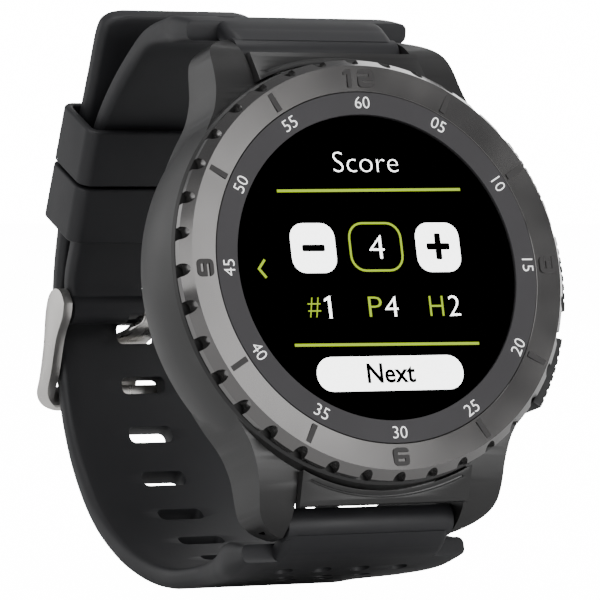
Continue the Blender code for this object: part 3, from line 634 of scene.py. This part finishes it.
def frame_line(name, centre, width, height, radius, line):
    """The outline of a round-cornered box as a thin flat frame on the screen."""
    outer = rounded(width, height, radius)
    inner = rounded(width - 2 * line, height - 2 * line, radius - line)
    rings = []
    for rows, level in ((outer, -1), (inner, -1), (inner, 1), (outer, 1)):
        depth = INK_DEPTH + level * INK_THICK / 2
        rings.append([(centre[0] + x, depth, centre[1] + z) for x, z in rows])
    return skin(name, rings, closed=True)


# openings (left, low, right, high) cut from a round-cornered block 2.0 by 2.1 mm
OPENINGS = {
    "2": [(-1.3, 1.25, 0.48, 1.62), (-0.48, 0.48, 1.3, 0.85)],
    "3": [(-1.3, 1.25, 0.48, 1.62), (-1.3, 0.48, 0.48, 0.85), (-1.3, 0.70, -0.45, 1.40)],
    "6": [(-0.48, 1.25, 1.3, 1.62), (-0.48, 0.48, 0.48, 0.85)],
    "9": [(-1.3, 0.48, 0.48, 0.85), (-0.48, 1.25, 0.48, 1.62)],
}


def block_digit(name, digit, offset, place, thick=0.00006):
    """One square-cut numeral for the bezel, a soft block with its openings cut out."""
    if digit == "1":
        outline = [(0.42, 1.05), (-0.10, 1.05), (-0.55, 0.72), (-0.55, 0.40), (-0.08, 0.52),
                   (-0.08, -1.05), (0.42, -1.05)]
    else:
        outline = rounded(2.0, 2.1, 0.55)
    flat = [((x + offset) * 0.001, z * 0.001) for x, z in outline]
    whole = plate(name, flat, -thick, thick, place=place)
    for index, (left, low, right, high) in enumerate(OPENINGS.get(digit, [])):
        boolean(whole, box(f"{name}_{index}",
                           ((left + offset) * 0.001, -0.001, (low - 1.05) * 0.001),
                           ((right + offset) * 0.001, 0.001, (high - 1.05) * 0.001), place))
    return whole


def bezel_marks():
    """Ticks at the plain hours and square numerals at 12, 3, 6 and 9."""
    made = []
    for hour in range(12):
        angle = math.radians(90 - 30 * hour)
        place = turn_in_dial(angle) @ Matrix.Translation((HOUR_R, MARK_DEPTH, 0))
        upright = place @ turn_in_dial(-QUARTER_TURN)
        if hour % 3:
            made.append(box(f"tick_{hour}", (-0.00115, -0.00003, -0.00033),
                            (0.00115, 0.00006, 0.00033), place))
        elif hour == 0:
            made.append(block_digit("mark_12a", "1", -1.35, upright))
            made.append(block_digit("mark_12b", "2", 0.95, upright))
        elif hour == 6:
            made.append(block_digit("mark_6", "6", 0.0, place @ turn_in_dial(QUARTER_TURN)))
        else:
            made.append(block_digit(f"mark_{hour}", str(hour), 0.0, upright))
    return merge("bezel_marks", made)


def make_bezel():
    """The fixed ceramic bezel with its notched rim, ticks and square numerals."""
    ring = turned("bezel_ring", [
        (BEZEL_INNER_R, BEZEL_DEPTH), (BEZEL_R - 0.0001, BEZEL_DEPTH),
        (BEZEL_R, BEZEL_DEPTH - 0.0001), (BEZEL_R, BEZEL_RIM_DEPTH), (BEZEL_FACE_R, 0.0),
        (BEZEL_INNER_R + 0.00010, BEZEL_DISH), (BEZEL_INNER_R, BEZEL_DISH + 0.00010)],
        steps=BEZEL_STEPS)
    floor = arc(NOTCH_HALF_WIDTH, QUARTER_TURN, 3 * QUARTER_TURN, 16,
                (NOTCH_FLOOR_R + NOTCH_HALF_WIDTH, 0.0))
    outline = [(NOTCH_TOOL_R, -NOTCH_HALF_WIDTH), (NOTCH_TOOL_R, NOTCH_HALF_WIDTH), *floor]
    cutters = []
    for index in range(NOTCH_COUNT):
        angle = math.radians(90 - index * 360 / NOTCH_COUNT)
        cutters.append(plate(f"notch_{index}", outline, NOTCH_TOP_DEPTH, NOTCH_TOOL_DEPTH,
                             place=turn_in_dial(angle)))
    boolean(ring, merge("notches", cutters))
    bevel(ring, 0.00005, 2, 28)
    finish_piece(ring, "bezel_ceramic", "case", "bezel", angle=13)
    finish_piece(bezel_marks(), "bezel_marks", "case", slot="bezel_ceramic")


def make_minute_ring():
    """The satin ring under the bezel, with white minute numbers that carry a painted glow."""
    ring = turned("minute_ring_face", [
        (RING_INNER_R, 0.0009), (RING_R, 0.0009), (RING_R, 0.00016),
        (RING_INNER_R, 0.00020)])
    finish_piece(ring, "ring_satin", "case", "minute_ring")
    numbers = []
    for index in range(12):
        minute = 5 * index or 60
        angle = math.radians(90 - 6 * minute)
        turn = angle - QUARTER_TURN
        if 15 < minute < 45:
            turn += HALF_TURN
        centre = (MINUTE_SHIFT + MINUTE_R * math.cos(angle), MINUTE_R * math.sin(angle))
        numbers.append(lettering(f"minute_{minute}", f"{minute:02d}", 0.00150, centre, turn,
                                 depth=0.00013, squeeze=1.02))
    # the numbers' material glows: painted light on white print
    finish_piece(merge("minute_numbers", numbers), "ring_ink_painted_glow", "case", slot="ring_satin")


def one_outline(across, up, high):
    """A plain figure one with a short flag, centred on a place."""
    stem = 0.13 * high
    corners = [(0.5, 0.5), (-0.1, 0.5), (-1.9, 0.36), (-1.9, 0.25), (-0.5, 0.34),
               (-0.5, -0.5), (0.5, -0.5)]
    return [(across + x * stem, up + z * high) for x, z in corners]


def make_screen():
    """The black glass with the score page showing: boxes, lines, numbers and plain words."""
    glass = turned("glass_face", [
        (0, 0.0019), (0.0198, 0.0019), (0.0198, 0.0011), (0.01775, 0.0011),
        (0.01775, 0.00045), (0.01768, 0.00036), (0.0172, 0.00028), (0, 0.00026)])
    finish_piece(glass, "cover_glass", "case", "cover_glass")
    green = [
        ink("rule_upper", [(-0.0120, 0.00872), (0.0118, 0.00890), (0.0118, 0.00922),
                           (-0.0120, 0.00904)]),
        ink("rule_lower", [(-0.0119, -0.00920), (0.0119, -0.00933), (0.0119, -0.00901),
                           (-0.0119, -0.00888)]),
        frame_line("score_box", (-0.0001, 0.0023), 0.0069, 0.0058, 0.0019, 0.00024),
        lettering("hash_sign", "#", 0.0025, (-0.00889, LABEL_Z)),
        lettering("par_sign", "P", 0.0026, (-0.00105, LABEL_Z), squeeze=1.2),
        lettering("hole_sign", "H", 0.0026, (0.00690, LABEL_Z), squeeze=0.92),
        ink("back_arrow", [(-0.01555, -0.00015), (-0.01465, 0.00098), (-0.01443, 0.00080),
                           (-0.01520, -0.00015), (-0.01443, -0.00110), (-0.01465, -0.00128)]),
    ]
    white = [
        lettering("score_word", "Score", 0.00262, (-0.00020, 0.01230), squeeze=1.06,
                  weight=-0.030),
        badge("minus_button", (MINUS_X, STEPPER_Z), 0.0057, 0.0058, 0.0017),
        badge("plus_button", (PLUS_X, STEPPER_Z), 0.0057, 0.0058, 0.0017),
        badge("next_button", (-0.00006, -0.01248), 0.0189, 0.0040, 0.00195),
        lettering("score_number", "4", 0.0030, (0.0000, 0.0023), squeeze=1.1),
        ink("hash_number", one_outline(-0.00690, LABEL_Z, 0.0026)),
        lettering("par_number", "4", 0.0026, (0.00105, LABEL_Z), squeeze=1.1),
        lettering("hole_number", "2", 0.0026, (0.00925, LABEL_Z), squeeze=1.0),
    ]
    black = [
        badge("minus_sign", (MINUS_X, STEPPER_Z), 0.0029, 0.00078, 0.0002, BLACK_INK_DEPTH),
        badge("plus_across", (PLUS_X, 0.0023), 0.0030, 0.00078, 0.0002, BLACK_INK_DEPTH),
        badge("plus_up", (PLUS_X, 0.0023), 0.00078, 0.0031, 0.0002, BLACK_INK_DEPTH - 0.00001),
        lettering("next_word", "Next", 0.00232, (0.00000, -0.01245), depth=BLACK_INK_DEPTH,
                  squeeze=0.95, weight=0.026),
    ]
    for colour, marks, look in (("green", green, "screen_green"),
                                ("white", white, "screen_white"),
                                ("black", black, "cover_glass")):
        finish_piece(merge(f"screen_{colour}_marks", marks), look, "case",
                     slot="sensor_window")


def lug_outline(side):
    """Plan of one end of the case: two flared lugs and the web between them."""
    flank = [(0.0198, 0.0144), (0.0186, 0.0166), (0.0177, 0.0180), (0.0169, 0.0194),
             (0.0164, 0.0208), (0.0160, 0.0224), (0.0158, 0.0240), (0.0156, 0.0256),
             (0.0153, 0.0268), (0.0146, 0.0278), (0.0133, 0.0287), (0.0118, 0.0293)]
    half = [(0.0190, 0.0100), *spline(flank, 4), (LUG_GAP_HALF, 0.0294),
            (LUG_GAP_HALF, POCKET_Z)]
    whole = half + [(-x, z) for x, z in reversed(half)]
    return [(x, side * z) for x, z in whole]


def lug_slope(side):
    """Side view of what the lugs' sloping fronts lack."""
    slope = spline([(0.0027, 0.0150), (0.0034, 0.0170), (0.0040, 0.0195), (0.0046, 0.0222),
                    (0.0054, 0.0247), (0.0065, 0.0266), (0.0080, 0.0281),
                    (0.0098, 0.0292), (0.0112, 0.0299), (0.0122, 0.0305)], 4)
    outline = slope + [(0.0122, 0.0340), (-0.0020, 0.0340), (-0.0020, 0.0150)]
    return [(depth, side * z) for depth, z in outline]


def lug_belly(side):
    """Side view of the space behind the lugs, which droop towards the wrist."""
    under = spline([(CASE_REAR_DEPTH - 0.00005, 0.0090), (0.0121, 0.0180),
                    (0.0119, 0.0220), (0.0122, 0.0255), (0.0126, 0.0282),
                    (0.0126, 0.0300)], 4)
    outline = under + [(0.0126, 0.0340), (0.0200, 0.0340), (0.0200, 0.0090)]
    return [(depth, side * z) for depth, z in outline]


def panel_outline(side, half, radius, reach):
    """Crescent between the drum's rim and a straight edge, across the lug gap."""
    swing = math.asin(half / radius)
    rim = arc(radius, QUARTER_TURN - swing, QUARTER_TURN + swing, 40)
    return [(x, side * z) for x, z in rim + [(-half, reach), (half, reach)]]


def make_case():
    """The moulded mid case with its four lugs and the holes through its wall."""
    case = turned("case_body", [
        (0, CASE_REAR_DEPTH), (CASE_REAR_R - 0.0007, CASE_REAR_DEPTH),
        (CASE_REAR_R - 0.0001, CASE_REAR_DEPTH - 0.0004), (0.02475, 0.0110),
        (0.02505, 0.0088), (0.02513, 0.0070), (0.02505, 0.0046),
        (CASE_R, CASE_FRONT_DEPTH + 0.0003), (CASE_R - 0.0003, CASE_FRONT_DEPTH),
        (0, CASE_FRONT_DEPTH)])
    for name, side in (("upper", 1), ("lower", -1)):
        block = plate(f"{name}_block", lug_outline(side), CASE_FRONT_DEPTH + 0.00007, 0.0150)
        for outline in (lug_slope(side), lug_belly(side)):
            boolean(block, plate("lug_cut", outline, -LUG_TOOL_HALF, LUG_TOOL_HALF, "side"))
        boolean(case, block, "UNION")
        boolean(case, box("pocket", (-LUG_GAP_HALF, POCKET_DEPTH - 0.0002, side * POCKET_Z),
                          (LUG_GAP_HALF, 0.0200, side * 0.0400)))
        boolean(case, plate("seat", panel_outline(side, LUG_GAP_HALF - 0.00004, 0.02519,
                                                  0.0350), 0.0010, POCKET_DEPTH))
        spot = (LUG_BAR[0], side * LUG_BAR[1])
        boolean(case, cross_rod("bar_hole", BAR_HOLE_HALF, spot, BAR_HOLE_R))
    boolean(case, turned("cavity", [
        (0, 0.0140), (CAVITY_R, 0.0140), (CAVITY_R, SHELF_DEPTH), (SHELF_R, SHELF_DEPTH),
        (SHELF_R, 0.0020), (0, 0.0020)]))
    boolean(case, rod("cover_seat", (0, CASE_REAR_DEPTH - 0.0001, 0), (0, 0.0200, 0), 0.0239,
                      steps=ROUND_STEPS))
    for index in range(len(BUTTON_NAMES)):
        place = turn_in_dial(BUTTON_STEP * (1 - index))
        boolean(case, rod("stem_hole", (0.0180, BUTTON_DEPTH, 0), (0.0270, BUTTON_DEPTH, 0),
                          STEM_R + 0.00025, place=place))
    bevel(case, 0.00035, 3, 32)
    finish_piece(case, "case_plastic", "case", "mid_case", angle=30)


def make_end_panel(name, side):
    """The panel that closes the case between two lugs, with a groove along the bezel."""
    panel = plate(f"{name}_panel", panel_outline(side, LUG_GAP_HALF - 0.00008, 0.02525, 0.0266),
                  0.0024, 0.0063)
    slope = spline([(0.0000, 0.0195), (0.0027, 0.0218), (0.0040, 0.0241), (0.0050, 0.0261),
                    (0.0058, 0.0280)], 4)
    slope += [(-0.0010, 0.0280), (-0.0010, 0.0195)]
    outline = [(depth, side * z) for depth, z in slope]
    boolean(panel, plate("panel_slope", outline, -0.020, 0.020, "side"))
    boolean(panel, groove_tool(side))
    bevel(panel, 0.00012, 2, 40)
    finish_piece(panel, "case_plastic", "case", f"end_panel_{name}")


def groove_tool(side):
    """A thin curved blade that cuts a shallow groove down the panel's slope."""
    rings = []
    swing = math.asin(GROOVE_HALF / GROOVE_INNER_R)
    for index in range(33):
        angle = swing * (1 - index / 16)
        floor = min(depth_of_slope(GROOVE_INNER_R * math.cos(angle)) + 0.00030, 0.0060)
        corners = ((GROOVE_INNER_R, 0.0010), (GROOVE_OUTER_R, 0.0010),
                   (GROOVE_OUTER_R, floor), (GROOVE_INNER_R, floor))
        rings.append([(radius * math.sin(angle), depth, side * radius * math.cos(angle))
                      for radius, depth in corners])
    return skin("groove", rings)


def depth_of_slope(up):
    """Depth of the end panel's sloping face at a height."""
    return 0.0027 + (up - 0.0218) * (0.0050 - 0.0027) / (0.0261 - 0.0218)


def make_rear():
    """The rear cover and what shows in it: window, screws and charging pins."""
    cover = turned("cover_shell", [
        (0, BACK_DEPTH), (0.0165, BACK_DEPTH), (0.0185, 0.01488), (0.0205, 0.0146),
        (0.0222, 0.01418), (0.0232, 0.0137), (0.0236, 0.0132), (0.0236, 0.0128),
        (0.0200, 0.0128), (0.0200, 0.0120), (0, 0.0120)])
    boolean(cover, rod("well", (0, 0.0136, 0), (0, 0.0200, 0), 0.0058, steps=96))
    for index in range(4):
        angle = math.radians(45 + 90 * index)
        x = SCREW_CIRCLE_R * math.cos(angle)
        z = SCREW_CIRCLE_R * math.sin(angle)
        boolean(cover, rod("bore", (x, 0.0110, z), (x, 0.0200, z), SCREW_BORE_R, steps=32))
        make_screw(f"screw_{index + 1}", Matrix.Translation((x, 0, z)),
                   f"rear_screw_{index + 1}")
        x = PIN_PITCH * (index - 1.5)
        boolean(cover, rod("pin_hole", (x, 0.0110, PIN_Z), (x, 0.0200, PIN_Z), PIN_HOLE_R))
        pin = turned(f"pin_{index + 1}", [
            (0, 0.0149), (0.00055, 0.0149), (0.00078, 0.01475), (0.0008, 0.0146),
            (0.0008, 0.0120), (0, 0.0120)], steps=SMALL_STEPS,
            place=Matrix.Translation((x, 0, PIN_Z)))
        finish_piece(pin, "contact_gold", "case", f"charge_pin_{index + 1}")
    bevel(cover, 0.00012, 2, 40)
    finish_piece(cover, "case_plastic", "case", "rear_cover", angle=13)
    window = turned("window_lens", [
        (0, BACK_DEPTH), (0.0053, BACK_DEPTH), (0.0055, 0.0148), (0.0055, 0.0139),
        (0, 0.0139)], steps=96)
    finish_piece(window, "sensor_window", "case", "sensor_window")


def make_screw(name, place, node):
    """A small pan head screw with a cross recess."""
    screw = turned(name, [
        (0, 0.0133), (0.0006, 0.0133), (0.0008, 0.01322), (0.00085, 0.0130),
        (0.00085, 0.0127), (0.0006, 0.0127), (0.0006, 0.0090), (0, 0.0090)],
        steps=SMALL_STEPS, place=place)
    for arm in range(2):
        tool = box("recess", (-0.0005, 0.01305, -0.00013), (0.0005, 0.0143, 0.00013),
                   place @ turn_in_dial(arm * QUARTER_TURN))
        boolean(screw, tool)
    finish_piece(screw, "screw_steel", "case", node)


def make_button(name, angle):
    """A curved pusher with fine ribs and its stem."""
    place = turn_in_dial(angle)
    outline = arc(BUTTON_OUTER_R, -BUTTON_HALF_ARC, BUTTON_HALF_ARC, 26)
    outline += arc(BUTTON_INNER_R, BUTTON_HALF_ARC, -BUTTON_HALF_ARC, 26)
    cap = plate(f"pusher_{name}", outline, BUTTON_DEPTH - BUTTON_HALF_HEIGHT,
                BUTTON_DEPTH + BUTTON_HALF_HEIGHT, place=place)
    ribs = []
    for index in range(7):
        spot = place @ turn_in_dial(RIB_STEP * (index - 3))
        ribs.append(rod(f"rib_{index}", (BUTTON_OUTER_R + 0.00006, 0.0040, 0),
                        (BUTTON_OUTER_R + 0.00006, 0.0110, 0), RIB_R, 12, spot))
    boolean(cap, merge("ribs", ribs))
    bevel(cap, 0.00042, 3, 60)
    stem = rod("stem", (0.0206, BUTTON_DEPTH, 0), (0.0262, BUTTON_DEPTH, 0), STEM_R,
               place=place)
    whole = bake(cap)
    whole.data.transform(DIAL.inverted())
    whole.matrix_world = DIAL
    boolean(whole, stem, "UNION")
    finish_piece(whole, "button_plastic", f"button_{name}_set", f"button_{name}")


def band(name, rows):
    """A strap lofted through (depth, up, thickness, half width) rows, with round edges."""
    rings = []
    for index, (depth, up, thick, half) in enumerate(rows):
        normal = path_normal(rows, index)
        radius = thick * 0.36
        corner = (half - radius, thick / 2 - radius)
        quarter = [(half, 0.0), *arc(radius, 0.0, QUARTER_TURN, 4, corner)]
        quarter += [(half * share, thick / 2) for share in (0.75, 0.5, 0.25)]
        outer = quarter + [(0.0, thick / 2)]
        outer += [(-across, out) for across, out in reversed(quarter)]
        full = outer + [(-across, -out) for across, out in outer[1:-1]]
        rings.append([(across, depth + normal.x * out, up + normal.y * out)
                      for across, out in full])
    return skin(name, rings)


def keeper_point(along, out):
    """A (depth, up) place on the keepers' straight run: along it, and outwards from it."""
    depth = KEEPER_FOOT[0] - along * math.sin(KEEPER_ANGLE) + out * math.cos(KEEPER_ANGLE)
    up = KEEPER_FOOT[1] + along * math.cos(KEEPER_ANGLE) + out * math.sin(KEEPER_ANGLE)
    return depth, up


def square_shoulders(rows, first_wide):
    """Narrow the end that sits between the lugs, with a square step at the shoulders."""
    stepped = []
    for index, row in enumerate(rows):
        if index < first_wide:
            stepped.append((*row[:3], LUG_GAP_HALF - LUG_CLEARANCE))
            continue
        if index == first_wide:
            near = [a + 0.92 * (b - a) for a, b in zip(rows[index - 1], row)]
            stepped.append((*near[:3], LUG_GAP_HALF - LUG_CLEARANCE))
        stepped.append(row)
    return stepped


def buckle_strap_rows():
    """Middle line of the short strap, from the upper lugs to the buckle bar."""
    wide = SHOULDER_HALF
    plain = (STRAP_THICK, STRAP_HALF)
    inner = -0.0053
    rows = [
        (0.0106, 0.0282, 0.0034, wide), (0.0118, 0.0298, 0.0030, wide),
        (0.0134, 0.0314, 0.0024, wide), (0.0180, 0.0328, 0.0032, wide),
        (0.0232, 0.0341, 0.0031, 0.0130), (0.0300, 0.0352, STRAP_THICK, 0.0119),
        (0.0360, 0.0347, *plain), (0.0425, 0.0321, *plain),
        (*keeper_point(0.0165, -0.0059), *plain), (*keeper_point(0.0100, inner), *plain),
        (*keeper_point(0.0020, inner), *plain), (0.0612, 0.0126, *plain),
        (0.0620, 0.0092, 0.0027, 0.0107),
    ]
    return square_shoulders(spline(rows, STRAP_PIECES), 2 * STRAP_PIECES)


def hole_strap_rows():
    """Middle line of the long strap, from the lower lugs round to its free tip."""
    wide = SHOULDER_HALF
    plain = (STRAP_THICK, STRAP_HALF)
    outer = -STRAP_THICK / 2
    rows = [
        (0.0106, -0.0282, 0.0034, wide), (0.0120, -0.0296, 0.0030, wide),
        (0.0138, -0.0305, 0.0022, wide), (0.0190, -0.0302, 0.0040, wide),
        (0.0250, -0.0303, 0.0032, 0.0128), (0.0330, -0.0298, *plain),
        (0.0410, -0.0289, *plain), (0.0482, -0.0266, *plain), (0.0547, -0.0230, *plain),
        (0.0605, -0.0178, *plain), (0.0642, -0.0115, *plain), (0.0660, -0.0052, *plain),
        (0.0664, 0.0010, *plain), (0.0662, 0.0070, *plain), (0.0647, 0.0130, *plain),
    ]
    for along, thick, half in ((0.0010, STRAP_THICK, 0.0111), (0.0080, STRAP_THICK, 0.0111),
                               (0.0150, STRAP_THICK, 0.0110), (0.0220, STRAP_THICK, 0.0109),
                               (0.0278, STRAP_THICK, 0.0108), (0.0294, 0.0024, 0.0099),
                               (0.0299, 0.0021, 0.0082)):
        rows.append((*keeper_point(along, outer), thick, half))
    return square_shoulders(spline(rows, STRAP_PIECES), 2 * STRAP_PIECES)


def slot_tool(name, place, normal, height):
    """A soft-cornered blade standing across a strap at one place on its path."""
    spot = Matrix.Translation((0, place[0], place[1])) @ Matrix.Rotation(
        math.atan2(normal.y, normal.x), 4, "X")
    return plate(name, rounded(SLOT_LENGTH, height, 0.0008), -0.0030, 0.0030, place=spot)


def dimples(strap, rows, side):
    """Three staggered rows of shallow oval perforations in the strap's outer face."""
    lengths = length_along(rows)
    tools = []
    for line, wanted in enumerate(DIMPLE_DEPTHS):
        near = min(range(len(rows)), key=lambda index: abs(rows[index][0] - wanted))
        depth, up, normal = place_at(rows, lengths, lengths[near])
        out = normal * (rows[near][2] / 2 * side)
        count = 4 - line % 2
        for column in range(count):
            across = DIMPLE_PITCH * (column - (count - 1) / 2)
            ends = [(across, depth + out.x * reach, up + out.y * reach) for reach in (0.55, 1.6)]
            tools.append(rod(f"dimple_{line}_{column}", *ends, 0.00115))
    boolean(strap, merge("dimples", tools))


def strap_barrel(strap, spot):
    """Join a round barrel to a strap's end and bore it for its bar."""
    half = LUG_GAP_HALF - LUG_CLEARANCE
    boolean(strap, cross_rod("barrel", half, spot, BARREL_R, 48), "UNION")
    boolean(strap, cross_rod("bore", 0.02, spot, BAR_R + 0.00025))


def make_straps():
    """Both silicone strap halves with their slots and perforations."""
    rows = buckle_strap_rows()
    short = band("short_strap", rows)
    strap_barrel(short, LUG_BAR)
    strap_barrel(short, BUCKLE_BAR)
    boolean(short, box("stem_notch", (-0.0011, 0.0580, 0.0040), (0.0011, 0.0660, 0.0116)))
    boolean(short, box("blade_notch", (-0.0031, 0.0581, 0.0039), (0.0031, 0.0661, 0.0077)))
    dimples(short, rows, 1)
    bevel(short, 0.00018, 2, 50)
    finish_piece(short, "strap_silicone", "strap_loop", "buckle_strap", angle=34)
    rows = hole_strap_rows()
    long = band("long_strap", rows)
    strap_barrel(long, (LUG_BAR[0], -LUG_BAR[1]))
    lengths = length_along(rows)
    home = min(range(len(rows)), key=lambda index: math.dist(rows[index][:2], SLOTS_START))
    tools = []
    for index in range(-5, 4):
        height = USED_SLOT_HEIGHT if index == 1 else SLOT_HEIGHT
        wanted = lengths[home] + FIRST_SLOT_SHIFT + index * SLOT_PITCH
        depth, up, normal = place_at(rows, lengths, wanted)
        tools.append(slot_tool(f"slot_{index}", (depth, up), normal, height))
    boolean(long, merge("slots", tools))
    dimples(long, rows, -1)
    bevel(long, 0.00018, 2, 50)
    for low, high in BARREL_FLATS:
        boolean(long, box("flat", (low, 0.0080, -0.02615), (high, 0.0130, -0.0250)))
    finish_piece(long, "strap_silicone", "strap_loop", "hole_strap", angle=34)


def make_keeper(kind, body):
    """A soft-cornered rubber loop round both strap layers."""
    middle = (KEEPER_INNER_OUT + KEEPER_OUTER_OUT) / 2
    high = KEEPER_OUTER_OUT - KEEPER_INNER_OUT
    outer = rounded(2 * KEEPER_HALF, high, 0.0017, 8)
    inner = rounded(2 * (KEEPER_HALF - KEEPER_WALL), high - 2 * KEEPER_WALL + 0.0002, 0.0007, 8)
    inner = [(across, out + 0.0001) for across, out in inner]
    start = KEEPER_STARTS[kind]
    end = start + KEEPER_LENGTH
    rings = []
    for outline, along in ((outer, start), (outer, end), (inner, end), (inner, start)):
        rings.append([(across, *keeper_point(along, middle + out)) for across, out in outline])
    keeper = skin(f"keeper_{kind}", rings, closed=True)
    bevel(keeper, 0.00030, 3, 60)
    finish_piece(keeper, "strap_silicone", body, f"{kind}_keeper")


def corner_tool(side):
    """What rounds one lower corner of the buckle frame, seen from the front."""
    radius = 0.0030
    low = -0.0027
    middle = BUCKLE_HALF - radius
    outline = [(BUCKLE_HALF + 0.0020, low - 0.0020), (BUCKLE_HALF + 0.0020, low + radius),
               *arc(radius, 0.0, -QUARTER_TURN, 8, (middle, low + radius)),
               (middle, low - 0.0020)]
    return plate(f"corner_{side}", [(side * x, z) for x, z in outline], 0.0600, 0.0800)


def make_buckle():
    """The steel pin buckle: a frame with soft-edged arms, its bar and its tongue."""
    outer = spline([
        (0.0594, 0.0090), (0.0602, 0.0107), (0.0619, 0.0114), (0.0637, 0.0109),
        (0.0652, 0.0090), (0.0668, 0.0052), (0.0688, 0.0018), (0.0703, -0.0001),
        (0.0706, -0.0016), (0.0698, -0.0026), (0.0686, -0.0024), (0.0676, -0.0010),
        (0.0655, 0.0012), (0.0628, 0.0052), (0.0603, 0.0074), (0.0594, 0.0090)], 4)[:-1]
    arms = plate("buckle_body", outer, -BUCKLE_HALF, BUCKLE_HALF, "side")
    gap = [(0.0500, 0.0200), (0.0700, 0.0200), (0.0770, 0.0002), (0.0683, 0.0002),
           (0.0680, -0.0060), (0.0500, -0.0060)]
    boolean(arms, plate("gap", gap, -BUCKLE_GAP_HALF, BUCKLE_GAP_HALF, "side"))
    boolean(arms, corner_tool(1))
    boolean(arms, corner_tool(-1))
    boolean(arms, cross_rod("bore", BUCKLE_HALF - 0.0004, BUCKLE_BAR, BAR_R + 0.00015))
    bevel(arms, 0.00040, 3, 40)
    finish_piece(arms, "buckle_steel", "buckle", "buckle_frame")
    bar = cross_rod("buckle_bar", BUCKLE_BAR_HALF, BUCKLE_BAR, BAR_R)
    bevel(bar, 0.0001)
    finish_piece(bar, "bar_steel", "strap_loop", "spring_bar_buckle")
    make_tongue()


def make_tongue():
    """The tongue: a small roll on the bar and a flat blade through the strap's slot."""
    rows = spline([
        (0.0613, 0.0080, 0.0008, 0.0008), (0.0615, 0.0070, 0.0008, 0.0012),
        (0.0621, 0.0064, 0.0008, 0.0025), (0.0632, 0.0061, 0.0008, 0.0026),
        (0.0650, 0.0061, 0.0008, 0.0026), (0.0668, 0.0061, 0.0008, 0.0026),
        (0.0683, 0.0055, 0.0008, 0.0024), (0.0695, 0.0038, 0.0008, 0.0021),
        (0.0706, 0.0017, 0.0008, 0.0018), (0.0713, -0.0004, 0.0008, 0.0015),
        (0.0715, -0.0022, 0.0007, 0.0011)], 4)
    tongue = band("tongue_blade", rows)
    boolean(tongue, cross_rod("roll", 0.0008, BUCKLE_BAR, 0.0014, 40), "UNION")
    boolean(tongue, cross_rod("bore", 0.0060, BUCKLE_BAR, BAR_R + 0.00015))
    bevel(tongue, 0.00008, 2, 50)
    finish_piece(tongue, "buckle_steel", "tongue", "buckle_tongue")


def dress_inner_nodes():
    """Give every carried-over CAD node the material of its record slot."""
    looks = {part["node"]: part["material_slot"] for part in frame["record"]["subparts"]}
    for node, made in frame["nodes"].items():
        made.data.materials.clear()
        made.data.materials.append(MATERIALS[looks[node]])


def make_floor():
    """A plain pale floor under the lowest point of the strap."""
    low = cad_bounds[0].z
    bpy.ops.mesh.primitive_circle_add(vertices=128, radius=FLOOR_R, fill_type="NGON",
                                      location=(0, 0, low - FLOOR_GAP))
    floor = bpy.context.object
    floor.name = "studio_floor"
    floor.data.materials.append(MATERIALS["studio_floor"])


def soft_light(name, spot, size, power, height=None):
    """A soft rectangular studio light aimed at the case back's centre."""
    lamp = bpy.data.lights.new(name, "AREA")
    lamp.shape = "RECTANGLE"
    lamp.size = size
    lamp.size_y = height or size
    lamp.energy = power
    made = add_object(name, lamp)
    made.location = spot
    made.rotation_euler = (-Vector(spot)).to_track_quat("-Z", "Y").to_euler()


def make_world():
    """A white studio: full white to the eye, dimmer as a source of light."""
    world = bpy.data.worlds.new("studio")
    world.use_nodes = True
    bpy.context.scene.world = world
    tree = world.node_tree
    back = tree.nodes["Background"]
    back.inputs["Color"].default_value = (0.97, 0.98, 1.0, 1)
    back.inputs["Strength"].default_value = AMBIENT
    seen = tree.nodes.new("ShaderNodeBackground")
    seen.inputs["Color"].default_value = (1, 1, 1, 1)
    seen.inputs["Strength"].default_value = BACKDROP
    path = tree.nodes.new("ShaderNodeLightPath")
    mix = tree.nodes.new("ShaderNodeMixShader")
    tree.links.new(path.outputs["Is Camera Ray"], mix.inputs["Fac"])
    tree.links.new(back.outputs["Background"], mix.inputs[1])
    tree.links.new(seen.outputs["Background"], mix.inputs[2])
    tree.links.new(mix.outputs["Shader"], tree.nodes["World Output"].inputs["Surface"])


def make_camera():
    """A long lens at the product shot's angle, level and slightly above the dial."""
    lens = bpy.data.cameras.new("camera")
    lens.lens = CAMERA_LENS
    lens.sensor_width = 36.0
    lens.clip_start = 0.01
    lens.clip_end = 50.0
    camera = add_object("camera", lens)
    camera.location = DIAL_CENTRE + CAMERA_SPOT
    forward = CAMERA_FORWARD.normalized()
    right = forward.cross(Vector((0, 0, 1))).normalized()
    up = right.cross(forward)
    camera.rotation_euler = Matrix((right, up, -forward)).transposed().to_euler()
    bpy.context.scene.camera = camera


make_materials()
make_camera()
make_world()
soft_light("key_left", (-0.75, -0.35, 0.45), 0.80, 4.0)
soft_light("left_back", (-0.50, 0.75, 0.22), 0.70, 1.6)
soft_light("front_card", (0.565, -0.63, 0.435), 0.31, 0.74)
soft_light("top_soft", (0.00, -0.10, 0.80), 0.50, 2.8)
soft_light("front_low", (0.22, -0.95, 0.05), 0.55, 4.0, height=0.14)
soft_light("right_back", (0.80, 0.50, 0.30), 0.80, 4.0)
make_floor()
dress_inner_nodes()
make_bezel()
make_minute_ring()
make_screen()
make_case()
make_end_panel("upper", 1)
make_end_panel("lower", -1)
make_rear()
for order, button in enumerate(BUTTON_NAMES):
    make_button(button, BUTTON_STEP * (1 - order))
make_straps()
make_keeper("fixed", "strap_loop")
make_keeper("free", "keeper")
make_buckle()
